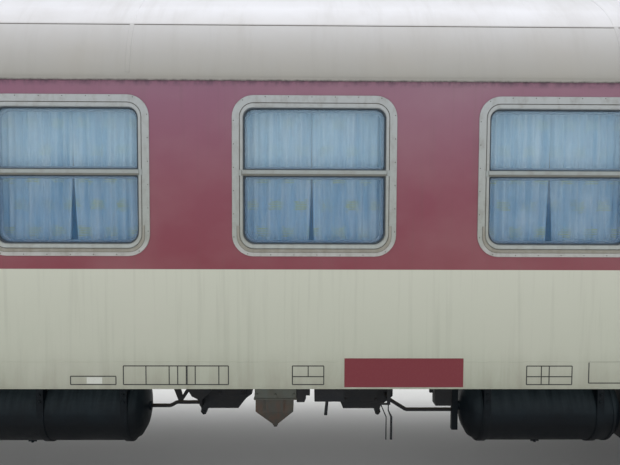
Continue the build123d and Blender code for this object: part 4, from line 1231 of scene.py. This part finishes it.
def make_draw_gear():
    """Draw hook, and the screw coupling that hangs from it with its links, trunnions, lever and bow."""
    shape = Shape()
    mid_x = sum(u for u, _ in HOOK) / len(HOOK)
    mid_z = sum(v for _, v in HOOK) / len(HOOK)
    for end in BOTH:
        x = end * LINK_X
        shape.box((end * 11.63, end * 11.65), (-0.11, 0.11), (0.978, 1.178), 0, 0.005)
        for y, z in product((-0.085, 0.085), (1.003, 1.153)):
            shape.bolt((end * 11.65, y, z), (end, 0, 0), 0.015)
        shape.loft([[(end * (mid_x + (u - mid_x) * size), y, mid_z + (v - mid_z) * size) for u, v in HOOK]
                    for y, size in ((-0.035, 0.95), (-0.029, 1.0), (0.029, 1.0), (0.035, 0.95))], caps=True)
        shape.bar((x, -0.064, LINK_TOP_Z), (x, 0.064, LINK_TOP_Z), 0.02, 20)
        link = []
        for (centre, start), k in product(((LINK_TOP_Z, 0), (LINK_FOOT_Z, pi)), range(11)):
            turn = start - LINK_PAST + (pi + 2 * LINK_PAST) * k / 10
            link.append((x + 0.03 * cos(turn), centre + 0.03 * sin(turn)))
        for side in BOTH:
            shape.turned((x, side * 0.062, LINK_TOP_Z), (0, side, 0),
                         [(0, 0.029), (0.008, 0.029), (0.011, 0.024)], 20)
            shape.loft([[(x + (u - x) * size, side * y, v) for u, v in link]
                        for y, size in ((0.036, 0.9), (0.04, 1.0), (0.056, 1.0), (0.06, 0.9))], caps=True)
            shape.turned((x, side * 0.076, LINK_FOOT_Z), (0, side, 0),
                         [(0, 0.027), (0.004, 0.03), (0.02, 0.03), (0.024, 0.026)])
        trunnion = [(-y, radius) for y, radius in reversed(TRUNNION)] + list(TRUNNION)
        shape.rings([(x, y, LINK_FOOT_Z) for y, _ in trunnion], [radius for _, radius in trunnion], 20)
        bow = [(-y, z) for y, z in BOW] + list(reversed(BOW))
        shape.rings([(x, y, z) for y, z in bow], 0.014, 14)
        shape.rings([(x, 0, z) for z, _ in LEVER], [radius for _, radius in LEVER], 14, 1)
    shape.build("draw_gear_dressed", [DRAW, STEEL], slot="underframe_black", replaces=["draw_gear"])


# inner edge, outer edge and height of each entrance step
STEPS = ((1.115, 1.38, 0.665), (1.065, 1.325, 0.955))
TREAD_RIBS = 9


def make_step_details():
    """Ribbed treads of the entrance steps."""
    shape = Shape()
    for end, side, (y0, y1, z), k in product(BOTH, BOTH, STEPS, range(TREAD_RIBS)):
        y = y0 + (y1 - y0) * (k + 0.5) / TREAD_RIBS
        shape.box((end * 11.065, end * 11.485), about(side * y, 0.006), (z - 0.001, z + 0.006), 0, 0.002)
    shape.build("step_treads", [STEEL], slot="bright_steel")


# Light, floor and camera

def make_floor():
    reach = 160.0
    mesh = bpy.data.meshes.new("floor")
    mesh.from_pydata([(-reach, -reach, 0), (reach, -reach, 0), (reach, reach, 0), (-reach, reach, 0)], [],
                     [(0, 1, 2, 3)])
    floor = bpy.data.objects.new("floor", mesh)
    bpy.context.scene.collection.objects.link(floor)
    look = Look("floor_white", (232, 232, 230), Roughness=0.9)
    look.over((236, 236, 235), look.noise(0.5))
    mesh.materials.append(look.done())


def make_light():
    """A sky that is brighter overhead, plain white to the camera, in reflections and through glass, and a
    high soft sun."""
    world = bpy.data.worlds.new("sky")
    bpy.context.scene.world = world
    nodes = Nodes(world)
    sky = nodes.tree.nodes["Background"]
    sky.inputs["Color"].default_value = (0.97, 0.985, 1.0, 1.0)
    nodes.feed(sky.inputs["Strength"], nodes.span(nodes.axis("Z", "Generated"), 0.0, 1.0, 0.54, 1.35))
    plain = nodes.node("ShaderNodeBackground")
    plain.inputs["Color"].default_value = (1.0, 1.0, 1.0, 1.0)
    rays = nodes.node("ShaderNodeLightPath").outputs
    seen = rays["Is Camera Ray"]
    for other in ("Is Glossy Ray", "Is Transmission Ray"):
        seen = nodes.math("MAXIMUM", seen, rays[other])
    mixed = nodes.node("ShaderNodeMixShader")
    for socket, value in zip(mixed.inputs, (seen, sky.outputs[0], plain.outputs[0])):
        nodes.feed(socket, value)
    nodes.feed(nodes.tree.nodes["World Output"].inputs["Surface"], mixed.outputs[0])
    lamp = bpy.data.lights.new("high_sun", "SUN")
    lamp.energy = 0.87
    lamp.angle = radians(60)
    sun = bpy.data.objects.new("high_sun", lamp)
    sun.rotation_euler = Euler((radians(-14), radians(6), 0))
    bpy.context.scene.collection.objects.link(sun)


def make_camera():
    """The photo's own view, from a fit to the window band, the skirt and the roof edge."""
    yaw, pitch, roll = 0.659, 2.786, 0.216
    data = bpy.data.cameras.new("photo_view")
    data.sensor_width = 36.0
    data.lens = 32.516
    data.clip_start = 0.05
    data.clip_end = 400.0
    cam = bpy.data.objects.new("photo_view", data)
    turn = (Matrix.Rotation(radians(-yaw), 4, "Z") @ Matrix.Rotation(radians(90 - pitch), 4, "X")
            @ Matrix.Rotation(radians(roll), 4, "Z"))
    cam.matrix_world = Matrix.Translation((-0.0693, -5.0831, 2.29)) @ turn
    bpy.context.scene.collection.objects.link(cam)
    bpy.context.scene.camera = cam


dress_cad_nodes()
make_windows()
make_curtains()
make_roof_seams()
make_vent_details()
make_wall_seams()
make_marks()
make_door_details()
make_door_sills()
make_gangway_door_details()
make_springs()
make_bogie_details()
make_tank_details()
make_hopper_details()
make_battery_details()
make_end_details()
make_gangway_details()
make_draw_gear()
make_step_details()
make_floor()
make_light()
make_camera()
bpy.context.scene.view_settings.view_transform = "Standard"
